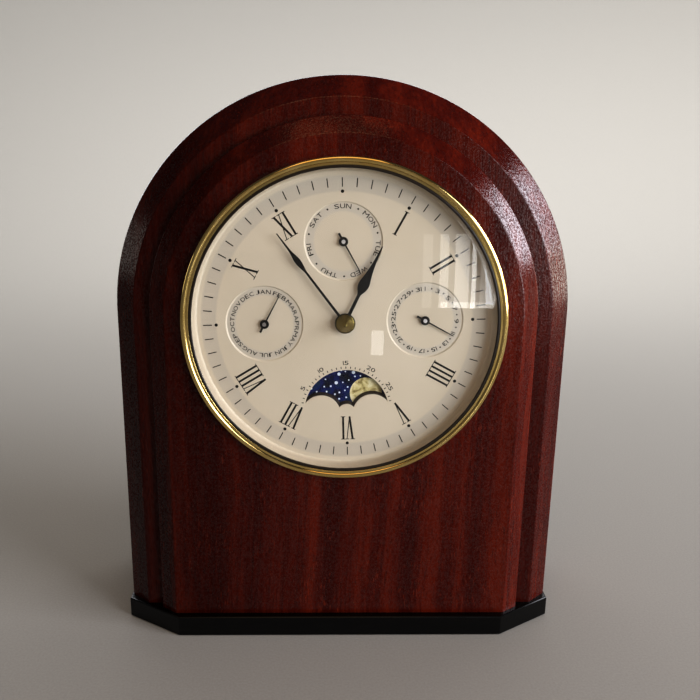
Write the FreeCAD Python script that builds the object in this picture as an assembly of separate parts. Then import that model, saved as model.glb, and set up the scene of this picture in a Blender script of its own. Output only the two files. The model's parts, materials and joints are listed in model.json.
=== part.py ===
import FreeCAD, Part
import math
import os

# Arched desk clock with calendar sub-dials and a moon disc.  Millimetres, +Z up, the dial faces -Y.
# Depths are counted from the wooden front face, positive towards the back; save() then moves every
# piece so that the origin is under the middle of the clock.
# Pieces of the dial unit are drawn about the dial's own axis: x to the right, z up, y into the case.

V = FreeCAD.Vector

# ---- dial unit: everything round follows from the bezel ----
bezel_radius = 76.0
bezel_width = 3.8
bezel_height = 4.1
bezel_lip_thickness = 0.9
bezel_bead = 1.4
bezel_bead_width = 2.7
bezel_lip_face = 0.3
bezel_lip_ease = 0.15
lip_overlap = 0.7
gasket_thickness = 0.4
gasket_show = 1.4
gasket_bead = 0.25
gasket_bead_slope = 0.35
glass_thickness = 1.8
glass_rise = 5.0
glass_slack = 0.1
spigot_wall = 0.8
spigot_length = 9.0
bore_clearance = 0.2
rim_show = 0.8
rim_flare = 1.8
rim_sheet = 0.8
glass_flat_rim = 0.4
dial_depth = 4.5
dial_thickness = 1.2
dial_centre_z = 162.3
dial_twist = 1.9

# ---- wooden case ----
dial_drop = 1.8
face_margin = 8.0
front_chamfer_width = 8.0
front_chamfer_depth = 5.6
front_board_thickness = 9.4
step_width = 8.0
body_chamfer_width = 10.0
body_chamfer_depth = 8.7
case_depth = 85.0
wall = 12.0
front_panel_thickness = 10.0
bottom_board_thickness = 10.0

# ---- plinth and feet ----
plinth_height = 10.6
plinth_front = 3.9
plinth_side = 0.9
plinth_corner_x = 28.8
plinth_corner_y = 18.0
plinth_edge_bevel = 0.9
pad_radius = 7.0
pad_thickness = 1.2
pad_proud = 0.5
pad_inset = 16.0
pad_fit = 0.2
wood_screw_radius = 1.6
wood_screw_head_radius = 3.6
wood_screw_head_height = 2.4
wood_screw_sink = 0.2
wood_screw_bite = 8.0
plinth_screw_spread = 0.6
plinth_screw_inset = 8.0

# ---- rear door ----
door_thickness = 12.0
door_gap = 0.8
rebate_width = 4.0
door_floor_gap = 1.0
knob_radius = 5.5
knob_height = 10.0
knob_foot_radius = 3.4
knob_neck_radius = 2.6
knob_inset = 12.0
knob_z = 112.0
catch_width = 10.0
catch_length = 14.0
catch_height = 18.0
catch_plate_thickness = 0.6
hinge_length = 22.0
hinge_heights = (42.0, 142.0)
leaf_width = 6.0
leaf_thickness = 1.0
knuckle_radius = 2.0
hinge_pin_radius = 1.0
knuckle_lift = 0.3
knuckle_count = 5
knuckle_gap = 0.15
leaf_root_gap = 0.4
leaf_screw_radius = 0.7
leaf_screw_head_radius = 1.5
leaf_screw_length = 6.0

# ---- dial layout ----
sub_dial_offset = 37.8
sub_dial_radius = 18.0
sub_dial_recess = 0.5
moon_centre_z = -43.75
moon_window_radius = 20.25
moon_orbit = 12.35
moon_hump_drop = 1.45
moon_hump_radius = 9.4
moon_middle_radius = 4.35
moon_middle_drop = 1.0
moon_flange_wall = 0.6
moon_flange_length = 1.2

# ---- hands, shown at 12:54, a Wednesday in February, the 12th ----
shown_minute = 54.1
weekday_angle = 151.2
month_angle = 28.4
date_angle = 120.7
minute_hand_length = 52.0
minute_hub_radius = 4.8
minute_leaf = (31.0, 36.0, 41.6)
minute_leaf_half = 1.4
minute_shaft_half = 0.5
hour_hand_length = 39.6
hour_hub_radius = 3.6
hour_leaf = (15.6, 18.8, 29.0)
hour_leaf_half = 2.9
hour_shaft_half = 0.6
hand_tip_half = 0.22
sub_hand_length = 15.5
sub_shaft_half = 0.4
sub_hub_radius = 2.35
sub_hand_tail = 4.4
hand_thickness = 0.4
minute_hand_depth = 1.2
hour_hand_depth = 2.1
sub_hand_depth = 3.5
cap_radius = 4.4
cap_collar = 0.9
cap_cone_radius = 4.0
cap_height = 5.6
cap_tip_radius = 0.4

# ---- calendar works ----
running_fit = 0.05
air = 0.3
layer_gap = 0.5
works_plate_gap = 1.7
works_plate_thickness = 2.0
works_plate_margin = 3.6
pillar_radius = 3.0
pillar_edge = 5.5
pillar_screw_bite = 3.5
minute_arbor_radius = 1.0
arbor_reach = 7.0
hour_pipe_radius = 1.9
pipe_reach = 3.0
bush_radius = 4.0
bush_reach = 2.0
nut_across_flats = 11.0
nut_height = 1.2
gear_module = 0.9
hour_teeth = 20
gear_thickness = 1.0
gear_hub_radius = 3.0
star_thickness = 0.8
moon_disc_thickness = 0.6
moon_disc_radius = 21.4
sub_arbor_radius = 0.95
post_radius = 1.0
arbor_sink = 0.4
weekday_teeth = 7
month_teeth = 12
date_teeth = 31
moon_teeth = 59
weekday_star_radius = 9.0
month_star_radius = 11.0
date_star_radius = 14.0
moon_wheel_radius = 21.8
finger_engagement = 1.0
finger_half_width = 0.9
finger_tip_half_width = 0.35
button_travel = 2.0
button_stem_radius = 1.2
button_head_radius = 2.6
button_clearance = 0.6
button_head_height = 2.4
button_collar_width = 0.7
button_collar_height = 0.8

# ---- quartz movement ----
movement_half = 28.0
movement_thickness = 16.0
movement_corner = 3.0
cell_radius = 7.1
cell_length = 49.2
cell_nub_radius = 2.6
cell_nub_length = 1.3
bay_floor_z = -26.4
bay_slack = 0.4
cell_sink = 0.6
contact_thickness = 0.4
contact_half_height = 5.0
setting_knob_radius = 6.0
setting_knob_length = 5.0
setting_stem_radius = 1.5
setting_stem_reach = 5.0
setting_knob_z = 11.0
setting_knob_flutes = 12
flute_radius = 1.2

# ---- straps that hold the dial unit in the bore ----
strap_width = 10.0
strap_thickness = 1.0
strap_angles = (0.0, 120.0, 240.0)
strap_edge = 7.0
strap_end = 5.0
strap_riser_gap = 1.5
strap_screw_bite = 7.0
screw_head_radius = 2.2
screw_head_height = 1.4
screw_slot_depth = 0.6
screw_slot_width = 0.6
screw_shank_radius = 1.1

# ---- derived sizes ----
bezel_lip_radius = bezel_radius - bezel_width
bezel_lip_depth = bezel_lip_thickness - bezel_height
glass_radius = bezel_lip_radius + lip_overlap
gasket_inner_radius = bezel_lip_radius - gasket_show
rim_inner_radius = bezel_lip_radius - rim_show
dial_flat_radius = rim_inner_radius - rim_flare
spigot_radius = glass_radius + glass_slack + spigot_wall
bore_radius = spigot_radius + bore_clearance
glass_front = bezel_lip_depth + gasket_thickness
glass_back = glass_front + glass_thickness
glass_apex = glass_front - glass_rise

face_radius = bezel_radius + face_margin
board_radius = face_radius + front_chamfer_width
step_radius = board_radius + step_width
case_half_width = step_radius + body_chamfer_width
arch_centre_z = dial_centre_z + dial_drop
body_front = front_board_thickness
panel_back = body_front + front_panel_thickness
inner_radius = case_half_width - wall
rebate_radius = inner_radius + rebate_width
door_radius = rebate_radius - door_gap
door_front = case_depth - door_thickness

dial_back = dial_depth + dial_thickness
moon_disc_depth = dial_back + moon_flange_length + air
star_depth_near = moon_disc_depth + moon_disc_thickness + layer_gap
star_depth_far = star_depth_near + star_thickness + layer_gap
gear_depth = star_depth_far + star_thickness + layer_gap
works_plate_depth = gear_depth + gear_thickness + works_plate_gap
works_plate_back = works_plate_depth + works_plate_thickness
arbor_front = minute_hand_depth - cap_collar
movement_back = works_plate_back + movement_thickness

works_plate_radius = dial_flat_radius - works_plate_margin
pillar_circle = works_plate_radius - pillar_edge
strap_plate_circle = works_plate_radius - strap_edge
strap_wood_circle = bore_radius + strap_edge
gear_distance = gear_module * hour_teeth * 1.5

front_reach = -glass_apex
back_reach = case_depth + knob_height
face_y = (front_reach - back_reach) / 2
minute_angle = shown_minute * 6
hour_angle = shown_minute / 2


# ---- small helpers ----

def save(name, solids):
    """Write one node; solids is one shape or a list of separate ones."""
    if not isinstance(solids, (list, tuple)):
        solids = [solids]
    shape = Part.makeCompound(list(solids)) if len(solids) > 1 else solids[0]
    shape = shape.copy()
    shape.translate(V(0, face_y, 0))
    shape.exportStep("parts/" + name + ".step")


def in_dial(shape):
    """Bring a piece drawn about the dial's axis to its place in the case."""
    placed = shape.copy()
    placed.rotate(V(0, 0, 0), V(0, 1, 0), -dial_twist)
    placed.translate(V(0, 0, dial_centre_z))
    return placed


def turn(shape, clock_angle, x=0.0, z=0.0):
    """Turn a shape clockwise as seen from the front about a point of the dial."""
    turned_shape = shape.copy()
    turned_shape.rotate(V(x, 0, z), V(0, 1, 0), clock_angle)
    return turned_shape


def rod(radius, start, end, x=0.0, z=0.0):
    """Round rod along the depth, from one depth to another."""
    return Part.makeCylinder(radius, end - start, V(x, start, z), V(0, 1, 0))


def tube(outer, inner, start, end, x=0.0, z=0.0):
    return rod(outer, start, end, x, z).cut(rod(inner, start, end, x, z))


def post(radius, low, high, x, y):
    """Round rod standing upright."""
    return Part.makeCylinder(radius, high - low, V(x, y, low), V(0, 0, 1))


def block(low, high):
    return Part.makeBox(high[0] - low[0], high[1] - low[1], high[2] - low[2], V(*low))


def outline(points, depth):
    """Face of a polygon given as (x, z) at one depth."""
    corners = [V(x, depth, z) for x, z in points]
    return Part.Face(Part.makePolygon(corners + [corners[0]]))


def cut_sheet(points, start, end):
    return outline(points, start).extrude(V(0, end - start, 0))


def turned_edges(edges):
    face = Part.Face(Part.Wire(edges))
    return face.revolve(V(0, 0, 0), V(0, 1, 0), 360)


def line(a, b):
    return Part.LineSegment(V(a[0], a[1], 0), V(b[0], b[1], 0)).toShape()


def arc(a, middle, b):
    return Part.Arc(V(a[0], a[1], 0), V(middle[0], middle[1], 0), V(b[0], b[1], 0)).toShape()


def crown(radius, apex, rise):
    """Arc from the axis out to a radius, on a sphere centred on the axis."""
    sphere = (radius * radius + rise * rise) / (2 * abs(rise))
    half = radius / 2
    drop = math.copysign(sphere - math.sqrt(sphere * sphere - half * half), rise)
    return arc((0, apex), (half, apex + drop), (radius, apex + rise))


def on_circle(radius, clock_angle, x=0.0, z=0.0):
    """Point at a clock angle, counted from the top."""
    angle = math.radians(clock_angle)
    return x + radius * math.sin(angle), z + radius * math.cos(angle)


# ---- wooden case ----

def arch_wire(radius, depth, base):
    """Upright-sided arch about the case's centre line."""
    left, right = -radius, radius
    top = arch_centre_z + radius
    return Part.Wire([
        Part.LineSegment(V(left, depth, base), V(right, depth, base)).toShape(),
        Part.LineSegment(V(right, depth, base), V(right, depth, arch_centre_z)).toShape(),
        Part.Arc(V(right, depth, arch_centre_z), V(0, depth, top), V(left, depth, arch_centre_z)).toShape(),
        Part.LineSegment(V(left, depth, arch_centre_z), V(left, depth, base)).toShape()])


def arch_block(radius, start, end, base=plinth_height):
    return Part.Face(arch_wire(radius, start, base)).extrude(V(0, end - start, 0))


def arch_taper(front_radius, back_radius, start, end):
    """Chamfered length of an arch."""
    wires = [arch_wire(front_radius, start, plinth_height), arch_wire(back_radius, end, plinth_height)]
    return Part.makeLoft(wires, True, True)


def dial_bore(start, end):
    bore = rod(bore_radius, start, end)
    bore.translate(V(0, 0, dial_centre_z))
    return bore


def make_front_board():
    taper = arch_taper(face_radius, board_radius, 0, front_chamfer_depth)
    riser = arch_block(board_radius, front_chamfer_depth, front_board_thickness)
    return taper.fuse(riser).removeSplitter().cut(dial_bore(-1, front_board_thickness + 1))


def make_case_body():
    chamfer_end = body_front + body_chamfer_depth
    taper = arch_taper(step_radius, case_half_width, body_front, chamfer_end)
    rest = arch_block(case_half_width, chamfer_end, case_depth)
    body = taper.fuse(rest).removeSplitter()
    body = body.cut(arch_block(inner_radius, panel_back, case_depth, plinth_height - 1))
    body = body.cut(arch_block(rebate_radius, door_front - door_gap, case_depth + 1, plinth_height - 1))
    return body.cut(dial_bore(body_front - 1, panel_back + 1))


def make_bottom_board():
    return block((-inner_radius, panel_back, plinth_height),
                 (inner_radius, door_front - door_gap, plinth_height + bottom_board_thickness))


# ---- plinth, its screws and the felt pads ----

plinth_half = case_half_width + plinth_side
plinth_back = case_depth + plinth_side
pad_x = plinth_half - pad_inset
pad_rows = ((pad_x - plinth_corner_x * 0.4, plinth_front + pad_inset), (pad_x, plinth_back - pad_inset))
pad_places = [(side * x, y) for side in (-1, 1) for x, y in pad_rows]
plinth_screw_x = inner_radius * plinth_screw_spread
plinth_screw_depths = (panel_back + plinth_screw_inset, door_front - door_gap - plinth_screw_inset)
plinth_screw_places = [(side * plinth_screw_x, y) for side in (-1, 1) for y in plinth_screw_depths]


def plinth_layer(inset, low, high):
    half = plinth_half - inset
    front = -plinth_front + inset
    back = plinth_back - inset
    cut_x = plinth_corner_x - inset * (math.hypot(plinth_corner_x, plinth_corner_y) - plinth_corner_x
                                       ) / plinth_corner_y
    cut_y = cut_x * plinth_corner_y / plinth_corner_x
    corners = [(-half + cut_x, front), (half - cut_x, front), (half, front + cut_y),
               (half, back), (-half, back), (-half, front + cut_y)]
    return [V(x, y, low) for x, y in corners]


def make_plinth():
    base = plinth_layer(0, pad_proud, plinth_height)
    top_of_side = plinth_height - plinth_edge_bevel
    slab = Part.Face(Part.makePolygon(base + [base[0]])).extrude(V(0, 0, top_of_side - pad_proud))
    low = plinth_layer(0, top_of_side, 0)
    high = plinth_layer(plinth_edge_bevel, plinth_height, 0)
    bevel = Part.makeLoft([Part.makePolygon(low + [low[0]]), Part.makePolygon(high + [high[0]])], True, True)
    plinth = slab.fuse(bevel).removeSplitter()
    for x, y in pad_places:
        plinth = plinth.cut(post(pad_radius + pad_fit, 0, pad_thickness, x, y))
    for x, y in plinth_screw_places:
        plinth = plinth.cut(plinth_screw(x, y))
    return plinth


def plinth_screw(x, y):
    """Countersunk screw driven up through the plinth into the bottom board."""
    foot = pad_proud + wood_screw_sink
    head = Part.makeCone(wood_screw_head_radius, wood_screw_radius, wood_screw_head_height,
                         V(x, y, foot), V(0, 0, 1))
    shank = post(wood_screw_radius, foot + wood_screw_head_height / 2, plinth_height + wood_screw_bite, x, y)
    return head.fuse(shank).removeSplitter()


def make_felt_pads():
    return [post(pad_radius, 0, pad_thickness, x, y) for x, y in pad_places]


# ---- rear door and its hinges ----

hinge_x = (rebate_radius + door_radius) / 2
hinge_y = case_depth + knuckle_radius + knuckle_lift
leaf_root = knuckle_radius + leaf_root_gap


def make_rear_door():
    return arch_block(door_radius, door_front, case_depth, plinth_height + door_floor_gap)


def knuckle_spans(base, first):
    """Every second knuckle of a hinge, starting at the first or the second."""
    pitch = hinge_length / knuckle_count
    return [(base + i * pitch + knuckle_gap, base + (i + 1) * pitch - knuckle_gap)
            for i in range(first, knuckle_count, 2)]


def hinge_leaf(base, side, first, bore):
    """Leaf with its knuckles; side +1 lies on the case, -1 on the door."""
    near, far = sorted((hinge_x + side * leaf_root, hinge_x + side * (leaf_root + leaf_width)))
    leaf = block((near, case_depth, base), (far, case_depth + leaf_thickness, base + hinge_length))
    for low, high in knuckle_spans(base, first):
        web_near, web_far = sorted((hinge_x, hinge_x + side * (leaf_root + leaf_thickness / 2)))
        web = block((web_near, case_depth + knuckle_lift, low), (web_far, case_depth + leaf_thickness, high))
        leaf = leaf.fuse(web).fuse(post(knuckle_radius, low, high, hinge_x, hinge_y))
    leaf = leaf.cut(post(bore, base - 1, base + hinge_length + 1, hinge_x, hinge_y)).removeSplitter()
    for z in leaf_screw_heights(base):
        leaf = leaf.cut(leaf_screw(side, z))
    return leaf


def leaf_screw_heights(base):
    return (base + hinge_length * 0.22, base + hinge_length * 0.78)


def leaf_screw(side, z):
    """Countersunk screw through the middle of a leaf."""
    x = hinge_x + side * (leaf_root + leaf_width / 2)
    head_height = leaf_thickness * 0.8
    head_start = case_depth + leaf_thickness - head_height
    head = Part.makeCone(leaf_screw_radius, leaf_screw_head_radius, head_height,
                         V(x, head_start, z), V(0, 1, 0))
    shank = rod(leaf_screw_radius, case_depth - leaf_screw_length, head_start + head_height / 8, x, z)
    return head.fuse(shank)


def make_hinge_pins():
    return [post(hinge_pin_radius, z, z + hinge_length, hinge_x, hinge_y) for z in hinge_heights]


def make_door_knob():
    """Turned knob: foot, waist, and a ball flattened at its crown."""
    foot = knob_foot_radius
    neck = knob_neck_radius
    crown_radius = 3.0
    crown_rise = 0.4
    neck_end = knob_height * 0.42
    shoulder = knob_height - crown_rise
    edges = [line((0, 0), (foot, 0)), line((foot, 0), (foot, 1.0)),
             arc((foot, 1.0), (neck - 0.3, neck_end * 0.62), (neck, neck_end)),
             arc((neck, neck_end), (knob_radius, knob_height * 0.72), (crown_radius, shoulder)),
             crown(crown_radius, knob_height, -crown_rise), line((0, knob_height), (0, 0))]
    knob = turned_edges(edges)
    knob.translate(V(knob_inset - door_radius, case_depth, knob_z))
    return knob


def make_catch_magnet():
    """Magnet in its housing, on the side wall inside the door."""
    back = door_front - catch_plate_thickness - air
    half = catch_height / 2
    return block((-inner_radius, back - catch_length, knob_z - half),
                 (-inner_radius + catch_width, back, knob_z + half))


def make_catch_plate():
    """Steel plate let into the door, a little smaller than the magnet."""
    margin = 1.0
    half = catch_height / 2 - 2 * margin
    return block((-inner_radius + margin, door_front - catch_plate_thickness, knob_z - half),
                 (-inner_radius + catch_width - margin, door_front, knob_z + half))


# ---- bezel, glass and dial ----

def make_bezel():
    """Turned brass ring: one round bead, a fine groove, the lip, and the spigot that enters the bore."""
    bead = bezel_bead
    bead_r = bezel_radius - bead
    bead_y = -bezel_height + bead
    groove_r = bezel_radius - bezel_bead_width
    groove_y = bead_y - math.sqrt(bead ** 2 - (bead_r - groove_r) ** 2)
    lip_y = bezel_lip_depth - bezel_lip_face
    ease = bezel_lip_ease
    diagonal = bead * math.sqrt(0.5)
    edges = [
        line((spigot_radius, 0), (bezel_radius, 0)),
        line((bezel_radius, 0), (bezel_radius, bead_y)),
        arc((bezel_radius, bead_y), (bead_r + diagonal, bead_y - diagonal), (bead_r, -bezel_height)),
        arc((bead_r, -bezel_height), (bead_r - diagonal, bead_y - diagonal), (groove_r, groove_y)),
        line((groove_r, groove_y), (groove_r, lip_y)),
        line((groove_r, lip_y), (bezel_lip_radius + ease, lip_y)),
        line((bezel_lip_radius + ease, lip_y), (bezel_lip_radius, lip_y + ease)),
        line((bezel_lip_radius, lip_y + ease), (bezel_lip_radius, bezel_lip_depth)),
        line((bezel_lip_radius, bezel_lip_depth), (spigot_radius - spigot_wall, bezel_lip_depth)),
        line((spigot_radius - spigot_wall, bezel_lip_depth), (spigot_radius - spigot_wall, spigot_length)),
        line((spigot_radius - spigot_wall, spigot_length), (spigot_radius, spigot_length)),
        line((spigot_radius, spigot_length), (spigot_radius, 0))]
    return turned_edges(edges)


def make_gasket():
    """Rubber ring between lip and glass, with a raised bead that shows inside the lip."""
    back = bezel_lip_depth + gasket_thickness
    foot = bezel_lip_radius - bezel_lip_ease
    crest = bezel_lip_depth - gasket_bead
    slope = gasket_bead_slope
    edges = [
        line((glass_radius, back), (glass_radius, bezel_lip_depth)),
        line((glass_radius, bezel_lip_depth), (foot, bezel_lip_depth)),
        line((foot, bezel_lip_depth), (foot - slope, crest)),
        line((foot - slope, crest), (gasket_inner_radius + slope, crest)),
        line((gasket_inner_radius + slope, crest), (gasket_inner_radius, bezel_lip_depth)),
        line((gasket_inner_radius, bezel_lip_depth), (gasket_inner_radius, back)),
        line((gasket_inner_radius, back), (glass_radius, back))]
    return turned_edges(edges)


def make_glass():
    """Convex glass of even thickness with a flat edge."""
    rim = gasket_inner_radius - glass_flat_rim
    edges = [
        crown(rim, glass_apex, glass_rise),
        line((rim, glass_front), (glass_radius, glass_front)),
        line((glass_radius, glass_front), (glass_radius, glass_back)),
        line((glass_radius, glass_back), (rim, glass_back)),
        crown(rim, glass_apex + glass_thickness, glass_rise),
        line((0, glass_apex + glass_thickness), (0, glass_apex))]
    return turned_edges(edges)


def moon_window(start, end, grow=0.0):
    """Aperture: a round sky cut off by two humps that the moon rises from and sets behind."""
    radius = moon_window_radius + grow
    sky = rod(radius, start, end, 0, moon_centre_z)
    hump_z = moon_centre_z - moon_hump_drop
    sill = hump_z + 1.0 - grow
    sky = sky.cut(block((-radius, start - 1, sill - 2 * radius), (radius, end + 1, sill)))
    for side in (-1, 1):
        sky = sky.cut(rod(moon_hump_radius - grow, start - 1, end + 1, side * moon_orbit, hump_z))
    return sky.cut(rod(moon_middle_radius - grow, start - 1, end + 1, 0, moon_centre_z - moon_middle_drop))


def make_dial_plate():
    """Pressed dial: flat centre, rim that flares out to a collar behind the glass, flanged moon window."""
    top = glass_back
    face = dial_depth
    back = dial_back
    collar = top + rim_sheet
    flange_end = back + moon_flange_length
    edges = [
        line((0, face), (dial_flat_radius, face)),
        arc((dial_flat_radius, face), (dial_flat_radius + 1.1, face - 1.9), (rim_inner_radius, top)),
        line((rim_inner_radius, top), (glass_radius, top)),
        line((glass_radius, top), (glass_radius, collar)),
        line((glass_radius, collar), (rim_inner_radius + rim_sheet, collar)),
        line((rim_inner_radius + rim_sheet, collar), (rim_inner_radius + rim_sheet, back)),
        line((rim_inner_radius + rim_sheet, back), (0, back)),
        line((0, back), (0, face))]
    dial = turned_edges(edges)
    dial = dial.fuse(moon_window(face + dial_thickness / 2, flange_end, moon_flange_wall)).removeSplitter()
    for x, z in sub_centres.values():
        dial = dial.cut(rod(sub_dial_radius, face - 1, face + sub_dial_recess, x, z))
        dial = dial.cut(rod(sub_arbor_radius + air, face - 1, back + 1, x, z))
    dial = dial.cut(rod(hour_pipe_radius + air, face - 1, back + 1))
    return dial.cut(moon_window(face - 1, flange_end + 1))


# ---- hands ----

def hand_sheet(half_outline, hub_radius, hole_radius, depth):
    """Flat hand pointing up: half_outline lists (distance, half width) from hub to tip."""
    right = [(w, d) for d, w in half_outline]
    left = [(-w, d) for d, w in reversed(half_outline)]
    blade = cut_sheet(right + left, depth, depth + hand_thickness)
    hub = rod(hub_radius, depth, depth + hand_thickness)
    hole = rod(hole_radius, depth - 1, depth + 1)
    return blade.fuse(hub).removeSplitter().cut(hole)


def swell(start, widest, end, shaft, belly, steps=5):
    """Leaf of a hand: starts at one distance, is widest at the next and ends at the last."""
    points = []
    for i in range(steps + 1):
        t = i / steps
        points.append((start + (widest - start) * t, shaft + (belly - shaft) * math.sin(t * math.pi / 2)))
    for i in range(1, steps + 1):
        t = i / steps
        points.append((widest + (end - widest) * t, shaft + (belly - shaft) * (1 - t) ** 1.3))
    return points


def make_minute_hand():
    leaf = swell(*minute_leaf, minute_shaft_half, minute_leaf_half)
    half = [(-1.0, minute_shaft_half)] + leaf + [(minute_hand_length, hand_tip_half)]
    return turn(hand_sheet(half, minute_hub_radius, minute_arbor_radius, minute_hand_depth), minute_angle)


def make_hour_hand():
    leaf = swell(*hour_leaf, hour_shaft_half, hour_leaf_half)
    half = [(-1.0, hour_shaft_half)] + leaf + [(hour_hand_length, hand_tip_half)]
    return turn(hand_sheet(half, hour_hub_radius, hour_pipe_radius, hour_hand_depth), hour_angle)


def make_sub_hand(name, angle):
    half = [(-sub_hand_tail, sub_shaft_half), (0, sub_shaft_half), (sub_hand_length, hand_tip_half)]
    hand = hand_sheet(half, sub_hub_radius, sub_arbor_radius, sub_hand_depth)
    hand = turn(hand, angle)
    x, z = sub_centres[name]
    hand.translate(V(x, 0, z))
    return hand


def make_cap_nut():
    """Turned cone cap that holds the minute hand."""
    start = minute_hand_depth
    collar = start - cap_collar
    tip = start - cap_height
    edges = [line((0, arbor_front), (minute_arbor_radius, arbor_front)),
             line((minute_arbor_radius, arbor_front), (minute_arbor_radius, start)),
             line((minute_arbor_radius, start), (cap_radius, start)),
             line((cap_radius, start), (cap_radius, collar)),
             line((cap_radius, collar), (cap_cone_radius, collar)),
             line((cap_cone_radius, collar), (cap_tip_radius, tip)),
             crown(cap_tip_radius, tip - cap_tip_radius / 2, cap_tip_radius / 2),
             line((0, tip - cap_tip_radius / 2), (0, arbor_front))]
    return turned_edges(edges)


# ---- gears and stars of the calendar works ----

sub_centres = {"weekday": (0, sub_dial_offset), "month": (-sub_dial_offset, 0), "date": (sub_dial_offset, 0)}
day_centre = on_circle(gear_distance, 45)
moon_day_centre = on_circle(gear_distance, 216)


def gear(teeth, bore, depth, x, z, phase):
    """Spur wheel with slim straight-flanked teeth; phase is the clock angle of one tooth."""
    pitch = gear_module * teeth / 2
    tip = pitch + gear_module * 0.85
    root = pitch - gear_module * 1.1
    step = 360 / teeth
    points = []
    for i in range(teeth):
        middle = phase + i * step
        for radius, offset in ((root, -0.3), (tip, -0.12), (tip, 0.12), (root, 0.3)):
            points.append(on_circle(radius, middle + offset * step, x, z))
    wheel = cut_sheet(points, depth, depth + gear_thickness)
    return wheel.cut(rod(bore, depth - 1, depth + 2, x, z))


def star(teeth, tip, bore, depth, x, z, phase):
    """Star wheel with pointed teeth."""
    step = 360 / teeth
    root = tip - min(tip * 0.35, math.pi * tip / teeth * 0.9)
    points = []
    for i in range(teeth):
        points.append(on_circle(root, phase + (i - 0.5) * step, x, z))
        points.append(on_circle(tip, phase + i * step, x, z))
    wheel = cut_sheet(points, depth, depth + star_thickness)
    return wheel.cut(rod(bore, depth - 1, depth + 2, x, z))


def spokes_out(wheel, outer, inner, depth, x, z, count=5):
    """Open the web of a wheel with round holes."""
    middle = (outer + inner) / 2
    hole = (outer - inner) / 2
    for i in range(count):
        hx, hz = on_circle(middle, i * 360 / count, x, z)
        wheel = wheel.cut(rod(hole, depth - 1, depth + 3, hx, hz))
    return wheel


def clock_angle_to(centre):
    return math.degrees(math.atan2(centre[0], centre[1]))


def make_hour_wheel():
    """Wheel on the hour pipe; it has a tooth pointing at the upper day wheel."""
    boss = tube(hour_pipe_radius + 1.4, hour_pipe_radius, gear_depth - 1.2, gear_depth)
    wheel = gear(hour_teeth, hour_pipe_radius, gear_depth, 0, 0, clock_angle_to(day_centre))
    return wheel.fuse(boss).removeSplitter()


def make_day_wheel(centre, fingers):
    """24-hour wheel, twice the hour wheel's teeth, with fingers as (reach, depth, clock angle)."""
    teeth = hour_teeth * 2
    back_to_centre = clock_angle_to(centre) + 180
    step = 360 / hour_teeth
    offset = (clock_angle_to(centre) - clock_angle_to(day_centre)) / step
    fraction = offset - round(offset)
    phase = back_to_centre + (0.5 + fraction) * 360 / teeth
    x, z = centre
    bore = post_radius + running_fit
    wheel = gear(teeth, bore, gear_depth, x, z, phase)
    root = gear_module * teeth / 2 - gear_module * 1.1
    wheel = spokes_out(wheel, root - 2, gear_hub_radius + 2, gear_depth, x, z)
    low = min(depth for reach, depth, angle in fingers)
    hub = tube(gear_hub_radius, bore, low, gear_depth, x, z)
    wheel = wheel.fuse(hub)
    for reach, depth, angle in fingers:
        half = finger_half_width
        tip = finger_tip_half_width
        root = gear_hub_radius / 2
        corners = [(-half, root), (half, root), (tip, reach), (-tip, reach)]
        arm = cut_sheet(corners, depth, depth + star_thickness)
        arm = turn(arm, angle)
        arm.translate(V(x, 0, z))
        wheel = wheel.fuse(arm.cut(rod(bore, depth - 1, depth + 2, x, z)))
    return wheel.removeSplitter()


def distance(a, b):
    return math.hypot(a[0] - b[0], a[1] - b[1])


def day_fingers():
    weekday_reach = distance(day_centre, sub_centres["weekday"]) - weekday_star_radius + finger_engagement
    date_reach = distance(day_centre, sub_centres["date"]) - date_star_radius + finger_engagement
    return [(weekday_reach, star_depth_near, 30.0), (date_reach, star_depth_far, 15.0)]


def moon_fingers():
    reach = distance(moon_day_centre, (0, moon_centre_z)) - moon_wheel_radius + finger_engagement
    return [(reach, star_depth_near, 290.0)]


def make_day_posts():
    start = star_depth_near - layer_gap
    return [rod(post_radius, start, works_plate_depth, x, z) for x, z in (day_centre, moon_day_centre)]


def make_sub_arbor(name):
    x, z = sub_centres[name]
    return rod(sub_arbor_radius, sub_hand_depth - layer_gap, works_plate_back - arbor_sink, x, z)


def make_moon_arbor():
    return rod(post_radius, moon_disc_depth, works_plate_back - arbor_sink, 0, moon_centre_z)


def make_moon_disc():
    return tube(moon_disc_radius, post_radius, moon_disc_depth, moon_disc_depth + moon_disc_thickness,
                0, moon_centre_z)


def make_moon_wheel():
    wheel = star(moon_teeth, moon_wheel_radius, post_radius, star_depth_near, 0, moon_centre_z, 0)
    wheel = spokes_out(wheel, moon_wheel_radius - 3.3, 5.0, star_depth_near, 0, moon_centre_z)
    spacer = tube(gear_hub_radius, post_radius, moon_disc_depth + moon_disc_thickness, star_depth_near,
                  0, moon_centre_z)
    return wheel.fuse(spacer).removeSplitter()


def make_hour_pipe():
    start = hour_hand_depth - air
    return tube(hour_pipe_radius, minute_arbor_radius + running_fit, start, works_plate_back + pipe_reach)


def make_minute_arbor():
    return rod(minute_arbor_radius, arbor_front, works_plate_back + arbor_reach)


# ---- calendar plate, pillars and correctors ----

star_sizes = {"weekday": weekday_star_radius, "month": month_star_radius, "date": date_star_radius}
button_directions = {"weekday": 45.0, "month": 315.0, "date": 135.0, "moon": 225.0}


def button_place(name):
    centre = (0, moon_centre_z) if name == "moon" else sub_centres[name]
    star_radius = moon_wheel_radius if name == "moon" else star_sizes[name]
    reach = star_radius + button_stem_radius + button_clearance
    return on_circle(reach, button_directions[name], centre[0], centre[1])


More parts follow.
